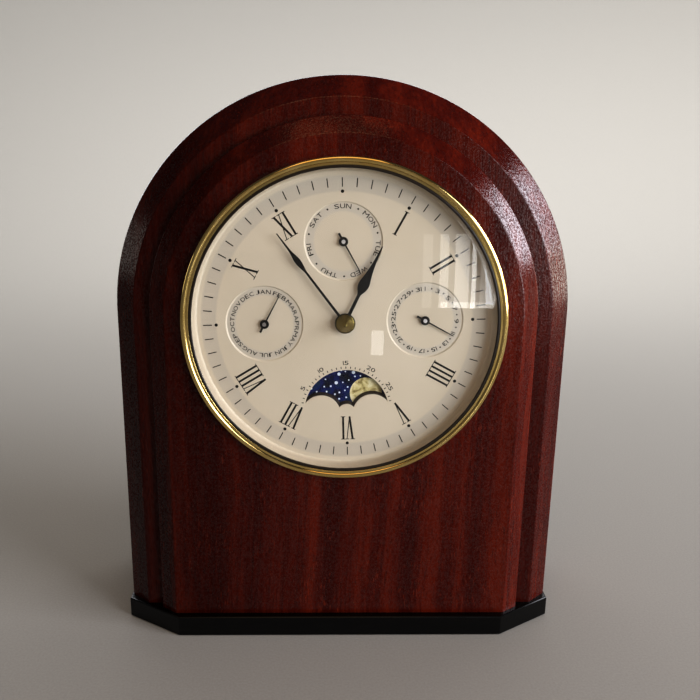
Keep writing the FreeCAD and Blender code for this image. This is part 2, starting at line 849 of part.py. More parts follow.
def make_corrector(name):
    """Push-button whose nose reaches past the rim of its star when pressed."""
    x, z = button_place(name)
    nose = star_depth_far + star_thickness + air
    head_start = works_plate_back + button_travel + layer_gap
    collar_end = works_plate_depth - 0.1
    collar_start = collar_end - button_collar_height
    stem = rod(button_stem_radius, nose, head_start, x, z)
    collar = rod(button_stem_radius + button_collar_width, collar_start, collar_end, x, z)
    head = rod(button_head_radius, head_start, head_start + button_head_height, x, z)
    return stem.fuse(collar).fuse(head).removeSplitter()


def make_works_plate():
    start = works_plate_depth
    end = start + works_plate_thickness
    plate = rod(works_plate_radius, start, end)
    plate = plate.cut(rod(bush_radius, start - 1, end + 1))
    for x, z in sub_centres.values():
        plate = plate.cut(rod(sub_arbor_radius + running_fit, start - 1, end + 1, x, z))
    plate = plate.cut(rod(post_radius + running_fit, start - 1, end + 1, 0, moon_centre_z))
    for name in button_directions:
        x, z = button_place(name)
        plate = plate.cut(rod(button_stem_radius + running_fit, start - 1, end + 1, x, z))
    for x, z in pillar_places:
        plate = plate.cut(rod(screw_shank_radius, start - 1, end + 1, x, z))
    for angle in strap_angles:
        x, z = on_circle(strap_plate_circle, angle)
        plate = plate.cut(rod(screw_shank_radius, start - 1, end + 1, x, z))
    return plate


pillar_places = [on_circle(pillar_circle, angle) for angle in (45, 135, 225, 315)]


def make_pillars():
    pillars = []
    for x, z in pillar_places:
        pillar = rod(pillar_radius, dial_back, works_plate_depth, x, z)
        hole_front = works_plate_depth - pillar_screw_bite - layer_gap
        pillars.append(pillar.cut(rod(screw_shank_radius, hole_front, works_plate_depth, x, z)))
    return pillars


def machine_screw(head_start, length, x, z):
    """Cheese-head screw driven from the back; head_start is the depth of the surface it clamps."""
    head_end = head_start + screw_head_height
    reach = screw_head_radius + 1
    half = screw_slot_width / 2
    head = rod(screw_head_radius, head_start, head_end, x, z)
    shank = rod(screw_shank_radius, head_start - length, head_start, x, z)
    slot = block((x - reach, head_end - screw_slot_depth, z - half), (x + reach, head_end + 1, z + half))
    return head.fuse(shank).removeSplitter().cut(slot)


def make_pillar_screws():
    length = works_plate_thickness + pillar_screw_bite
    return [machine_screw(works_plate_back, length, x, z) for x, z in pillar_places]


def make_straps():
    """Cranked straps from the calendar plate out over the back of the front panel."""
    foot = works_plate_back
    straps = []
    half = strap_width / 2
    riser_low = works_plate_radius + strap_riser_gap
    foot_low = strap_plate_circle - strap_end
    ear_back = panel_back + strap_thickness
    for angle in strap_angles:
        strap = block((-half, foot, foot_low), (half, foot + strap_thickness, riser_low))
        riser = block((-half, foot, riser_low - strap_thickness), (half, ear_back, riser_low))
        ear = block((-half, panel_back, riser_low), (half, ear_back, strap_wood_circle + strap_end))
        strap = strap.fuse(riser).fuse(ear).removeSplitter()
        for radius in (strap_plate_circle, strap_wood_circle):
            strap = strap.cut(rod(screw_shank_radius, foot - 1, panel_back + 3, 0, radius))
        straps.append(turn(strap, angle))
    return straps


def make_strap_screws():
    foot = works_plate_back + strap_thickness
    screws = []
    for angle in strap_angles:
        inner = on_circle(strap_plate_circle, angle)
        outer = on_circle(strap_wood_circle, angle)
        screws.append(machine_screw(foot, strap_thickness + works_plate_thickness, *inner))
        length = strap_thickness + strap_screw_bite
        screws.append(machine_screw(panel_back + strap_thickness, length, *outer))
    return screws


# ---- quartz movement ----

movement_front = works_plate_back
bay_ceiling_z = bay_floor_z + 2 * (cell_radius + bay_slack)
cell_z = bay_floor_z + cell_radius + bay_slack
cell_depth = movement_back - cell_radius - cell_sink
bay_half = cell_length / 2 + cell_nub_length / 2 + contact_thickness + bay_slack


def make_movement_case():
    half = movement_half
    case = block((-half, movement_front, -half), (half, movement_back, half))
    uprights = [e for e in case.Edges if abs(e.Vertexes[0].Z - e.Vertexes[1].Z) < 1e-6
                and abs(e.Vertexes[0].X - e.Vertexes[1].X) < 1e-6]
    case = case.makeFillet(movement_corner, uprights)
    case = case.cut(block((-bay_half, cell_depth - cell_radius - bay_slack, bay_floor_z),
                          (bay_half, movement_back + 1, bay_ceiling_z)))
    end_play = 0.4
    case = case.cut(rod(bush_radius, movement_front - 1, movement_front + bush_reach))
    pipe_end = movement_front + pipe_reach + end_play
    arbor_end = movement_front + arbor_reach + end_play
    case = case.cut(rod(hour_pipe_radius + running_fit, movement_front, pipe_end))
    case = case.cut(rod(minute_arbor_radius + running_fit, movement_front, arbor_end))
    return case.cut(rod(setting_stem_radius + running_fit, movement_back - setting_stem_reach - end_play,
                        movement_back + 1, 0, setting_knob_z))


def make_bush():
    start = works_plate_depth - nut_height - 0.1
    return tube(bush_radius, hour_pipe_radius + running_fit, start, movement_front + bush_reach)


def make_nut():
    start = works_plate_depth - nut_height
    flats = [on_circle(nut_across_flats / math.sqrt(3), i * 60) for i in range(6)]
    return cut_sheet(flats, start, works_plate_depth).cut(rod(bush_radius, start - 1, works_plate_depth + 1))


def make_battery():
    start = -cell_length / 2 - cell_nub_length / 2
    body = Part.makeCylinder(cell_radius, cell_length, V(start, cell_depth, cell_z), V(1, 0, 0))
    nub = Part.makeCylinder(cell_nub_radius, cell_nub_length, V(start + cell_length, cell_depth, cell_z),
                            V(1, 0, 0))
    return body.fuse(nub).removeSplitter()


def make_battery_contacts():
    strips = []
    for side in (-1, 1):
        near, far = sorted((side * bay_half, side * (bay_half - contact_thickness)))
        strips.append(block((near, cell_depth - contact_half_height, cell_z - contact_half_height),
                            (far, cell_depth + contact_half_height, cell_z + contact_half_height)))
    return strips


def make_setting_knob():
    """Fluted thumb wheel on the back of the movement."""
    start = movement_back + air
    knob = rod(setting_knob_radius, start, start + setting_knob_length, 0, setting_knob_z)
    for i in range(setting_knob_flutes):
        angle = i * 360 / setting_knob_flutes
        x, z = on_circle(setting_knob_radius + flute_radius / 2, angle, 0, setting_knob_z)
        knob = knob.cut(rod(flute_radius, start - 1, start + setting_knob_length + 1, x, z))
    stem = rod(setting_stem_radius, movement_back - setting_stem_reach, start, 0, setting_knob_z)
    return knob.fuse(stem).removeSplitter()


# ---- build ----

os.makedirs("parts", exist_ok=True)

case_body = make_case_body()
case_screws = [leaf_screw(1, z) for base in hinge_heights for z in leaf_screw_heights(base)]
strap_screws = [in_dial(screw) for screw in make_strap_screws()]
for screw in case_screws + strap_screws:
    case_body = case_body.cut(screw)
save("front_board", make_front_board())
save("case_body", case_body)
plinth_screws = [plinth_screw(x, y) for x, y in plinth_screw_places]
bottom_board = make_bottom_board()
for screw in plinth_screws:
    bottom_board = bottom_board.cut(screw)
save("bottom_board", bottom_board)
save("plinth", make_plinth())
save("plinth_screws", plinth_screws)
save("felt_pads", make_felt_pads())

rear_door = make_rear_door()
door_screws = [leaf_screw(-1, z) for base in hinge_heights for z in leaf_screw_heights(base)]
for screw in door_screws:
    rear_door = rear_door.cut(screw)
rear_door = rear_door.cut(make_catch_plate())
save("rear_door", rear_door)
save("door_knob", make_door_knob())
save("hinge_leaves_case", [hinge_leaf(z, 1, 0, hinge_pin_radius) for z in hinge_heights])
save("hinge_leaves_door", [hinge_leaf(z, -1, 1, hinge_pin_radius + running_fit) for z in hinge_heights])
save("hinge_pins", make_hinge_pins())
save("hinge_screws_case", case_screws)
save("hinge_screws_door", door_screws)
save("catch_magnet", make_catch_magnet())
save("catch_plate", make_catch_plate())

save("bezel", in_dial(make_bezel()))
save("glass_gasket", in_dial(make_gasket()))
save("glass", in_dial(make_glass()))
save("dial_plate", in_dial(make_dial_plate()))
save("works_plate", in_dial(make_works_plate()))
save("works_pillars", [in_dial(pillar) for pillar in make_pillars()])
save("pillar_screws", [in_dial(screw) for screw in make_pillar_screws()])
save("dial_straps", [in_dial(strap) for strap in make_straps()])
save("strap_screws", strap_screws)
save("day_wheel_posts", [in_dial(rod_shape) for rod_shape in make_day_posts()])

save("movement_case", in_dial(make_movement_case()))
save("centre_bush", in_dial(make_bush()))
save("hex_nut", in_dial(make_nut()))
save("battery", in_dial(make_battery()))
save("battery_contacts", [in_dial(strip) for strip in make_battery_contacts()])
save("setting_knob", in_dial(make_setting_knob()))

save("minute_hand", in_dial(make_minute_hand()))
save("minute_arbor", in_dial(make_minute_arbor()))
save("cap_nut", in_dial(make_cap_nut()))
save("hour_hand", in_dial(make_hour_hand()))
save("hour_pipe", in_dial(make_hour_pipe()))
save("hour_wheel", in_dial(make_hour_wheel()))
save("day_wheel", in_dial(make_day_wheel(day_centre, day_fingers())))
save("moon_day_wheel", in_dial(make_day_wheel(moon_day_centre, moon_fingers())))

hand_angles = {"weekday": weekday_angle, "month": month_angle, "date": date_angle}
star_teeth = {"weekday": weekday_teeth, "month": month_teeth, "date": date_teeth}
star_depths = {"weekday": star_depth_near, "month": star_depth_near, "date": star_depth_far}
for name, (x, z) in sub_centres.items():
    angle = hand_angles[name]
    wheel = star(star_teeth[name], star_sizes[name], sub_arbor_radius, star_depths[name], x, z, angle)
    save(name + "_hand", in_dial(make_sub_hand(name, angle)))
    save(name + "_arbor", in_dial(make_sub_arbor(name)))
    save(name + "_star", in_dial(wheel))
save("moon_disc", in_dial(make_moon_disc()))
save("moon_arbor", in_dial(make_moon_arbor()))
save("moon_wheel", in_dial(make_moon_wheel()))
for name in button_directions:
    save(name + "_corrector", in_dial(make_corrector(name)))
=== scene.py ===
import json
import math
import random

import bmesh
import bpy
from mathutils import Matrix, Vector, noise

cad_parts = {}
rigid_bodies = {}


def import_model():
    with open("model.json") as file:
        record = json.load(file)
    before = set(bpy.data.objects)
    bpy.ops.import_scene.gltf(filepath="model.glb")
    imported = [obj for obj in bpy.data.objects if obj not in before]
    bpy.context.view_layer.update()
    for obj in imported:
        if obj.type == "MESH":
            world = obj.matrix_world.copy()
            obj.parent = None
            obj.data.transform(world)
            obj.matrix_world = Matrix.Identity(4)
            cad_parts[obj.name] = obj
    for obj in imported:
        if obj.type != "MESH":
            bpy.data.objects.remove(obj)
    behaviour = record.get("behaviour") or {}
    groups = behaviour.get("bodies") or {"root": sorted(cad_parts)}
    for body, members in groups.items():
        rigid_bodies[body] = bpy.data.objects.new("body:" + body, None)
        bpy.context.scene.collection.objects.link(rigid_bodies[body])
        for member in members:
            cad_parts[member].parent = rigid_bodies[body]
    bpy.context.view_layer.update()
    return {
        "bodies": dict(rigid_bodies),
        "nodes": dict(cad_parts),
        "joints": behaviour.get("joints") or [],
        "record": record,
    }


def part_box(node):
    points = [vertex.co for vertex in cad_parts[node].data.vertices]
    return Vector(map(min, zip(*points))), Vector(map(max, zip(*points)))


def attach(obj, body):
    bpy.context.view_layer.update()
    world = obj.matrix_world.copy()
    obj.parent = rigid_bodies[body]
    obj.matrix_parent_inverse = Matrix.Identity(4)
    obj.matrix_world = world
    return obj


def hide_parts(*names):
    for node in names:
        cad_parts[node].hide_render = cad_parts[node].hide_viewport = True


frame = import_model()
scene = bpy.context.scene

# Pieces are drawn in millimetres and brought to their place in the frame by one of these two matrices.
# Drawn depths count from the wooden front face, positive towards the back; x is right and z is up.
joints = {joint["name"]: joint for joint in frame["joints"]}
dialPoint = Vector(joints["minute_hand_turn"]["pos_m"])
weekdayPoint = Vector(joints["weekday_hand_turn"]["pos_m"])
dialTwist = math.atan2(weekdayPoint.x - dialPoint.x, weekdayPoint.z - dialPoint.z)
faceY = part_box("front_board")[0].y
toMetres = Matrix.Scale(0.001, 4)
casePlace = Matrix.Translation((0, faceY, 0)) @ toMetres
dialTurn = Matrix.Rotation(dialTwist, 4, "Y")
dialPlace = Matrix.Translation((0, faceY, dialPoint.z)) @ dialTurn @ toMetres


def nodeBox(node):
    low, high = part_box(node)
    low = (low - Vector((0, faceY, 0))) * 1000
    high = (high - Vector((0, faceY, 0))) * 1000
    return low, high


def onDial(point):
    # place of a point of the frame on the dial, in mm
    return dialPlace.inverted() @ Vector(point)


print("frame loaded: dial centre", round(dialPoint.z * 1000, 2), "mm up, turned",
      round(math.degrees(dialTwist), 2), "degrees")


# building pieces

def rounded(bm, corners, segments=5):
    for vert, size in corners:
        bmesh.ops.bevel(bm, geom=[vert], offset=size, offset_type="OFFSET", segments=segments,
                        profile=0.5, affect="VERTICES", material=-1)


def profileLine(bm, profile, closed, z=0.0, segments=5):
    # profile: (radius, depth) or (radius, depth, rounding) in mm
    verts = [bm.verts.new((point[0], point[1], z)) for point in profile]
    for pair in zip(verts, verts[1:] + verts[:1] if closed else verts[1:]):
        bm.edges.new(pair)
    rounded(bm, [(vert, point[2]) for vert, point in zip(verts, profile) if len(point) > 2], segments)


def spinRound(bm, steps, axis=(0, 1, 0)):
    # a full turn about an axis through the origin, with its seam closed and its faces outwards
    bmesh.ops.spin(bm, geom=bm.verts[:] + bm.edges[:], cent=(0, 0, 0), axis=axis, dvec=(0, 0, 0),
                   angle=2 * math.pi, steps=steps, use_merge=True, use_duplicate=False)
    bmesh.ops.remove_doubles(bm, verts=bm.verts, dist=0.001)
    bmesh.ops.recalc_face_normals(bm, faces=bm.faces)


def turned(profile, steps=160, segments=5, at=(0, 0)):
    # a turned piece about a line along the depth at (x, z); a profile that starts off that line is closed
    bm = bmesh.new()
    profileLine(bm, profile, profile[0][0] > 0, segments=segments)
    spinRound(bm, steps)
    bmesh.ops.translate(bm, verts=bm.verts, vec=(at[0], 0, at[1]))
    return bm


def arched(profile, archHeight, base, steps=96):
    # an upright-sided arch: the profile is spun half a turn over the top, then drawn down to the base
    bm = bmesh.new()
    profileLine(bm, profile, False, archHeight)
    bmesh.ops.spin(bm, geom=bm.verts[:] + bm.edges[:], cent=(0, 0, archHeight), axis=(0, 1, 0),
                   dvec=(0, 0, 0), angle=-math.pi, steps=steps, use_merge=False, use_duplicate=False)
    bmesh.ops.remove_doubles(bm, verts=bm.verts, dist=0.001)
    ends = [edge for edge in bm.edges if edge.is_boundary]
    drawn = bmesh.ops.extrude_edge_only(bm, edges=ends)["geom"]
    feet = [item for item in drawn if isinstance(item, bmesh.types.BMVert)]
    bmesh.ops.translate(bm, verts=feet, vec=(0, 0, base - archHeight))
    bmesh.ops.contextual_create(bm, geom=[edge for edge in bm.edges if edge.is_boundary])
    bmesh.ops.recalc_face_normals(bm, faces=bm.faces)
    return bm


def drawnOut(bm, vec):
    # draw a flat outline out to a solid
    drawn = bmesh.ops.extrude_face_region(bm, geom=bm.faces[:])["geom"]
    moved = [item for item in drawn if isinstance(item, bmesh.types.BMVert)]
    bmesh.ops.translate(bm, verts=moved, vec=vec)
    bmesh.ops.recalc_face_normals(bm, faces=bm.faces)


def box(low, high):
    bm = bmesh.new()
    bmesh.ops.create_cube(bm, size=1)
    low, high = Vector(low), Vector(high)
    bmesh.ops.scale(bm, vec=high - low, verts=bm.verts)
    bmesh.ops.translate(bm, vec=(low + high) / 2, verts=bm.verts)
    return bm


def rod(radius, low, high, x=0.0, z=0.0, steps=64, edge=0.0):
    # a rod along the depth, its ends eased by edge
    eased = (edge,) if edge else ()
    return turned([(0, low), (radius, low) + eased, (radius, high) + eased, (0, high)], steps, 3, (x, z))


def bevelEdges(bm, edges, size, segments, clamp=False):
    bmesh.ops.bevel(bm, geom=edges, offset=size, offset_type="OFFSET", segments=segments, profile=0.5,
                    affect="EDGES", material=-1, clamp_overlap=clamp)


def easeEdges(bm, size, segments=2, sharper=30, keep=None):
    # round the edges that turn by more than an angle; keep picks which
    bevelEdges(bm, [edge for edge in bm.edges if len(edge.link_faces) == 2
                    and edge.calc_face_angle(0) > math.radians(sharper) and (keep is None or keep(edge))],
               size, segments, True)
    return bm


def edgeRun(edge, axis):
    # how far an edge runs along x (0), y (1) or z (2)
    return abs(edge.verts[0].co[axis] - edge.verts[1].co[axis])


def join(*parts):
    whole = parts[0]
    for part in parts[1:]:
        mesh = bpy.data.meshes.new("part")
        part.to_mesh(mesh)
        part.free()
        whole.from_mesh(mesh)
        bpy.data.meshes.remove(mesh)
    return whole


def trialObject(bm):
    mesh = bpy.data.meshes.new("trial")
    bm.to_mesh(mesh)
    bm.free()
    trial = bpy.data.objects.new("trial", mesh)
    scene.collection.objects.link(trial)
    return trial


def carve(bm, *cutters, operation="DIFFERENCE"):
    # cut other solids from a solid, or add them to it
    body = trialObject(bm)
    tools = [trialObject(cutter) for cutter in cutters]
    for tool in tools:
        cut = body.modifiers.new("cut", "BOOLEAN")
        cut.operation, cut.solver, cut.object = operation, "EXACT", tool
    carved = bpy.data.meshes.new_from_object(body.evaluated_get(bpy.context.evaluated_depsgraph_get()))
    result = bmesh.new()
    result.from_mesh(carved)
    for trial in [body] + tools:
        mesh = trial.data
        bpy.data.objects.remove(trial)
        bpy.data.meshes.remove(mesh)
    bpy.data.meshes.remove(carved)
    bmesh.ops.remove_doubles(result, verts=result.verts, dist=0.0005)
    return result


def addPiece(name, bm, place, material, body, stands=(), sharp=35):
    bm.transform(place)
    mesh = bpy.data.meshes.new(name)
    bm.to_mesh(mesh)
    bm.free()
    mesh.shade_smooth()
    mesh.set_sharp_from_angle(angle=math.radians(sharp))
    mesh.materials.append(material)
    piece = bpy.data.objects.new(name, mesh)
    scene.collection.objects.link(piece)
    weights = piece.modifiers.new("even shading", "WEIGHTED_NORMAL")
    weights.keep_sharp = True
    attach(piece, body)
    if stands:
        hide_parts(*stands)
    return piece


# materials

def hexColour(text):
    values = [int(text[i:i + 2], 16) / 255 for i in (1, 3, 5)]
    linear = [v / 12.92 if v <= 0.04045 else ((v + 0.055) / 1.055) ** 2.4 for v in values]
    return (*linear, 1.0)


def setInputs(node, inputs):
    # an input takes a value, an output, or a node, which stands for its first output in use
    for key, value in inputs.items():
        if isinstance(value, bpy.types.Node):
            value = next(output for output in value.outputs if output.enabled)
        if isinstance(value, bpy.types.NodeSocket):
            node.id_data.links.new(value, node.inputs[key])
        else:
            node.inputs[key].default_value = value


def addNode(material, kind, inputs=(), stops=(), **settings):
    # add a shader node with its settings and links; a ramp takes its stops as (position, hex colour)
    node = material.node_tree.nodes.new("ShaderNode" + kind)
    for name, value in settings.items():
        setattr(node, name, value)
    for index, (position, colour) in enumerate(stops):
        elements = node.color_ramp.elements
        element = elements[index] if index < len(elements) else elements.new(position)
        element.position = position
        element.color = hexColour(colour)
    setInputs(node, dict(inputs))
    return node


def newMaterial(name, **inputs):
    material = bpy.data.materials.new(name)
    material.use_nodes = True
    shader = material.node_tree.nodes["Principled BSDF"]
    setInputs(shader, {key.replace("_", " "): value for key, value in inputs.items()})
    return material, shader


# Sapele mahogany, planed and sprayed with satin lacquer. The eye sees broad upright ribbons of dark
# and orange red, short pale flecks in clusters, dark pores, and a gloss that breaks up over the pores.
mahoganyLook = {
    "layers": {                     # mm across, mm along, detail
        "ribbon": (12.0, 420, 1.5),     # the broad ribbons
        "streak": (1.6, 70, 3),         # the fine streaks between them
        "patch": (16, 34, 1),           # where flecks gather
        "fleck": (0.8, 4.5, 1),         # drawn twice as wide as real ones so that they show
        "pore": (0.75, 6.0, 1),         # drawn three times as coarse as real ones so that they show
    },
    "wander": 9, "sway": 0.014,     # swings of the grain in a metre, and how far it strays in metres
    "shadeFrom": -20, "shadeTo": -85, "shadeShare": 0.6,    # mm; the boards are painted darker, and less glossy, towards their left edge: painted shade away from the light on the right, over wood that is darker there too
    "peel": 0.8,                    # mm between the pits of open grain, drawn twice as coarse to show
    "dark": "#390a05", "middle": "#471007", "light": "#5a190a",
    "fleckTone": "#7a2c17", "poreTone": "#220503",
}


def bentGrain(material, where, radius, height):
    # the place along and across a veneer that runs up one side, round the arch and down the other
    parts = addNode(material, "SeparateXYZ", {"Vector": where})
    x, y, z = (parts.outputs[axis] for axis in "XYZ")
    above = addNode(material, "Math", {0: z, 1: height}, operation="SUBTRACT")
    overArch = addNode(material, "Math", {0: above, 1: 0.0}, operation="MAXIMUM")
    onSide = addNode(material, "Math", {0: above, 1: 0.0}, operation="MINIMUM")
    angle = addNode(material, "Math", {0: overArch, 1: x}, operation="ARCTAN2")
    side = addNode(material, "Math", {0: x}, operation="SIGN")
    upSide = addNode(material, "Math", {0: onSide, 1: side}, operation="MULTIPLY")
    length = addNode(material, "Math", {0: angle, 1: radius, 2: upSide}, operation="MULTIPLY_ADD")
    return addNode(material, "CombineXYZ", {"X": radius, "Y": y, "Z": length})


def makeMahogany(name, shift=(0, 0, 0), turn=(0, 0, 0), bend=None):
    look = mahoganyLook
    material, shader = newMaterial(name, Roughness=0.18)
    where = addNode(material, "TexCoord").outputs["Object"]
    followed = bentGrain(material, where, *bend) if bend else where
    placed = addNode(material, "Mapping", {"Vector": followed, "Location": shift, "Rotation": turn})
    wander = addNode(material, "TexNoise", {"Vector": placed, "Scale": look["wander"], "Detail": 1})
    centred = addNode(material, "VectorMath", {0: wander.outputs["Color"], 1: (0.5, 0.5, 0.5)},
                      operation="SUBTRACT")
    sway = addNode(material, "VectorMath", {0: centred, 1: (look["sway"], look["sway"], 0)},
                   operation="MULTIPLY")
    grain = addNode(material, "VectorMath", {0: placed, 1: sway}, operation="ADD")

    figure = {}
    for layer, (across, along, detail) in look["layers"].items():
        scale = (1000 / across, 1000 / across, 1000 / along)
        spread = addNode(material, "Mapping", {"Vector": grain, "Scale": scale})
        figure[layer] = addNode(material, "TexNoise", {"Vector": spread, "Scale": 1, "Detail": detail,
                                                       "Roughness": 0.5})
    mixed = addNode(material, "Math", {0: figure["streak"], 1: 0.55, 2: figure["ribbon"]},
                    operation="MULTIPLY_ADD")
    tone = addNode(material, "ValToRGB", {"Fac": mixed}, [(0.6, look["dark"]), (0.78, look["middle"]),
                                                          (0.98, look["light"])])
    flecks = addNode(material, "MapRange", {"Value": figure["fleck"], "From Min": 0.6,
                                            "From Max": 0.74})
    patches = addNode(material, "MapRange", {"Value": figure["patch"], "From Min": 0.4,
                                             "From Max": 0.65, "To Max": 0.5})
    pale = addNode(material, "Math", {0: flecks, 1: patches}, operation="MULTIPLY")
    flecked = addNode(material, "Mix", {"Factor": pale, "A": tone, "B": hexColour(look["fleckTone"])},
                      data_type="RGBA")
    pores = addNode(material, "MapRange", {"Value": figure["pore"], "From Min": 0.4, "From Max": 0.3,
                                           "To Max": 0.4})
    paint = addNode(material, "Mix", {"Factor": pores, "A": flecked, "B": hexColour(look["poreTone"])},
                    data_type="RGBA")
    # painted shade: the colour darkens towards the left edge, over wood that is darker there too
    side = addNode(material, "SeparateXYZ", {"Vector": where}).outputs["X"]
    shade = addNode(material, "MapRange", {"Value": side, "From Min": look["shadeTo"] / 1000,
                                           "From Max": look["shadeFrom"] / 1000,
                                           "To Min": look["shadeShare"], "To Max": 1.0},
                    interpolation_type="SMOOTHSTEP")
    shaded = addNode(material, "VectorMath", {0: paint, "Scale": shade}, operation="SCALE")

    peel = addNode(material, "TexNoise", {"Vector": where, "Scale": 1000 / look["peel"], "Detail": 2})
    pitted = addNode(material, "MapRange", {"Value": peel, "From Min": 0.4, "From Max": 0.6,
                                            "To Min": 0.08, "To Max": 0.5})
    # painted shade: the gloss weakens towards the left edge with the same factor, standing in for the
    # dark room on that side
    gloss = addNode(material, "Math", {0: pitted, 1: shade}, operation="MULTIPLY")
    rough = addNode(material, "Bump", {"Height": peel, "Strength": 1.0, "Distance": 0.00006})
    sunk = addNode(material, "Bump", {"Height": figure["pore"], "Strength": 0.18, "Distance": 0.0003,
                                      "Normal": rough})
    setInputs(shader, {"Base Color": shaded, "Specular IOR Level": gloss, "Normal": sunk})
    return material


mahoganyFront = makeMahogany("sapele mahogany, front board", shift=(0.02, 0, 0))
mahoganyCase = makeMahogany("sapele mahogany, case", shift=(0.137, 0.05, 0.2))
mahoganyDoor = makeMahogany("sapele mahogany, door", shift=(0.31, 0.4, 0.1))
mahoganyBase = makeMahogany("sapele mahogany, bottom board", shift=(0.7, 0.2, 0.3),
                            turn=(0, math.pi / 2, 0))


def makeBlackLacquer():
    # Sprayed black lacquer over beech: deep black, softly glossy, the grain just felt through it
    material, shader = newMaterial("black lacquered beech", Roughness=0.26, Specular_IOR_Level=0.22)
    where = addNode(material, "TexCoord").outputs["Object"]
    along = addNode(material, "Mapping", {"Vector": where, "Scale": (60, 900, 900)})
    grain = addNode(material, "TexNoise", {"Vector": along, "Scale": 1, "Detail": 3})
    tone = addNode(material, "ValToRGB", {"Fac": grain}, [(0.3, "#020202"), (0.7, "#060606")])
    raised = addNode(material, "Bump", {"Height": grain, "Strength": 0.12, "Distance": 0.0002})
    setInputs(shader, {"Base Color": tone, "Normal": raised})
    return material


def makeMetal(name, light, dark, roughness, lineSpacing=0.25, lineStrength=0.15, centre=(0, 0, 0)):
    # turned or rolled metal: fine rings about a line along the depth, with a faint change of tone
    material, shader = newMaterial(name, Metallic=1.0)
    where = addNode(material, "TexCoord").outputs["Object"]
    away = addNode(material, "VectorMath", {0: where, 1: centre}, operation="SUBTRACT")
    parts = addNode(material, "SeparateXYZ", {"Vector": away})
    flat = addNode(material, "CombineXYZ", {"X": parts.outputs["X"], "Z": parts.outputs["Z"]})
    radius = addNode(material, "VectorMath", {0: flat}, operation="LENGTH")
    ringPlace = addNode(material, "CombineXYZ", {"X": radius, "Y": parts.outputs["Y"]})
    rings = addNode(material, "TexNoise", {"Vector": ringPlace, "Scale": 1000 / lineSpacing,
                                           "Detail": 1})
    cloud = addNode(material, "TexNoise", {"Vector": where, "Scale": 90, "Detail": 3})
    tone = addNode(material, "ValToRGB", {"Fac": cloud}, [(0.35, dark), (0.65, light)])
    spread = addNode(material, "MapRange", {"Value": cloud, "From Min": 0.3, "From Max": 0.7,
                                            "To Min": roughness * 0.8, "To Max": roughness * 1.3})
    cut = addNode(material, "Bump", {"Height": rings, "Strength": lineStrength, "Distance": 0.00003})
    setInputs(shader, {"Base Color": tone, "Roughness": spread, "Normal": cut})
    return material


def makeSpeckled(name, light, dark, grain, bump, **inputs):
    # a moulded, painted or pressed surface: a fine even grain in tone and height, grain in mm
    material, shader = newMaterial(name, **inputs)
    where = addNode(material, "TexCoord").outputs["Object"]
    fine = addNode(material, "TexNoise", {"Vector": where, "Scale": 1000 / grain, "Detail": 3})
    tone = addNode(material, "ValToRGB", {"Fac": fine}, [(0.35, dark), (0.65, light)])
    raised = addNode(material, "Bump", {"Height": fine, "Strength": bump, "Distance": 0.0001})
    setInputs(shader, {"Base Color": tone, "Normal": raised})
    return material


blackLacquer = makeBlackLacquer()
# Polished and lacquered brass: a greenish gold that mirrors the room, with hair-fine turning rings
polishedBrass = makeMetal("polished brass", "#e6cf8f", "#dcc27c", 0.09, 0.3, 0.03, dialPoint)
# The cap nut: polished brass painted darker, as painted shade for the dark room that it mirrors
capBrassDarkened = makeMetal("cap brass, darkened as painted shade", "#84774a", "#655a34", 0.13, 0.2, 0.04, dialPoint)
# Plain turned brass: duller and yellower, with rings that show
turnedBrass = makeMetal("turned brass", "#c9a75c", "#a98743", 0.3, 0.2, 0.4, dialPoint)
# Bright zinc on steel: cool grey with a soft gloss
zincSteel = makeMetal("bright zinc plated steel", "#b9bbbd", "#989a9e", 0.32, 0.15, 0.3)
# Nickel-plated pin ends: pale and smooth
nickelPin = makeMetal("nickel plated steel", "#e4dfe0", "#c9c4c6", 0.3, 0.1, 0.1)
# Lacquered hands: near black with a quiet gloss
handLacquer = makeSpeckled("black lacquered brass", "#14110f", "#0a0807", 0.4, 0.06, Roughness=0.3,
                           Specular_IOR_Level=0.4)
# Screen-printed ink: dark brown black, matt
dialInk = makeSpeckled("black printing ink", "#0c0806", "#060403", 0.25, 0.1, Roughness=0.6,
                       Specular_IOR_Level=0.15)
# Moulded nitrile rubber, black, its colour painted a warm dark brown as a painted reflection of the brass
# lip in shade
blackRubber = makeSpeckled("black nitrile rubber", "#2a2015", "#1b140d", 0.3, 0.08, Roughness=0.28,
                           Specular_IOR_Level=0.5)
# Injection-moulded black ABS with a spark-eroded texture
blackPlastic = makeSpeckled("black moulded ABS", "#1d1e20", "#141517", 0.35, 0.35, Roughness=0.5)
# Acetal gears: milky white, slightly waxy
whitePlastic = makeSpeckled("white acetal", "#e3e0d6", "#d5d1c5", 0.8, 0.08, Roughness=0.38)
# Pressed wool felt: dark green, fibrous
greenFelt = makeSpeckled("pressed wool felt", "#2a3b31", "#16211a", 0.35, 0.9, Roughness=0.95)
# Knob and hinges: brass a little warmer and duller than the bezel, the hinges rolled from sheet
knobBrass = makeMetal("polished brass, knob", "#dcbe74", "#cba95c", 0.13, 0.25, 0.08, (-0.0892, 0, 0.112))
rolledBrass = makeMetal("rolled brass sheet", "#d2b26c", "#c4a25a", 0.22, 0.35, 0.04)
# Dark brown on the turned-in edge of the moon window: partly the edge's own dark paint, partly painted
# shade where the edge lies in shadow
sillPaintAndShade = makeSpeckled("dark brown enamel and painted shade", "#2e2116", "#1e150d", 0.5, 0.05, Roughness=0.5)


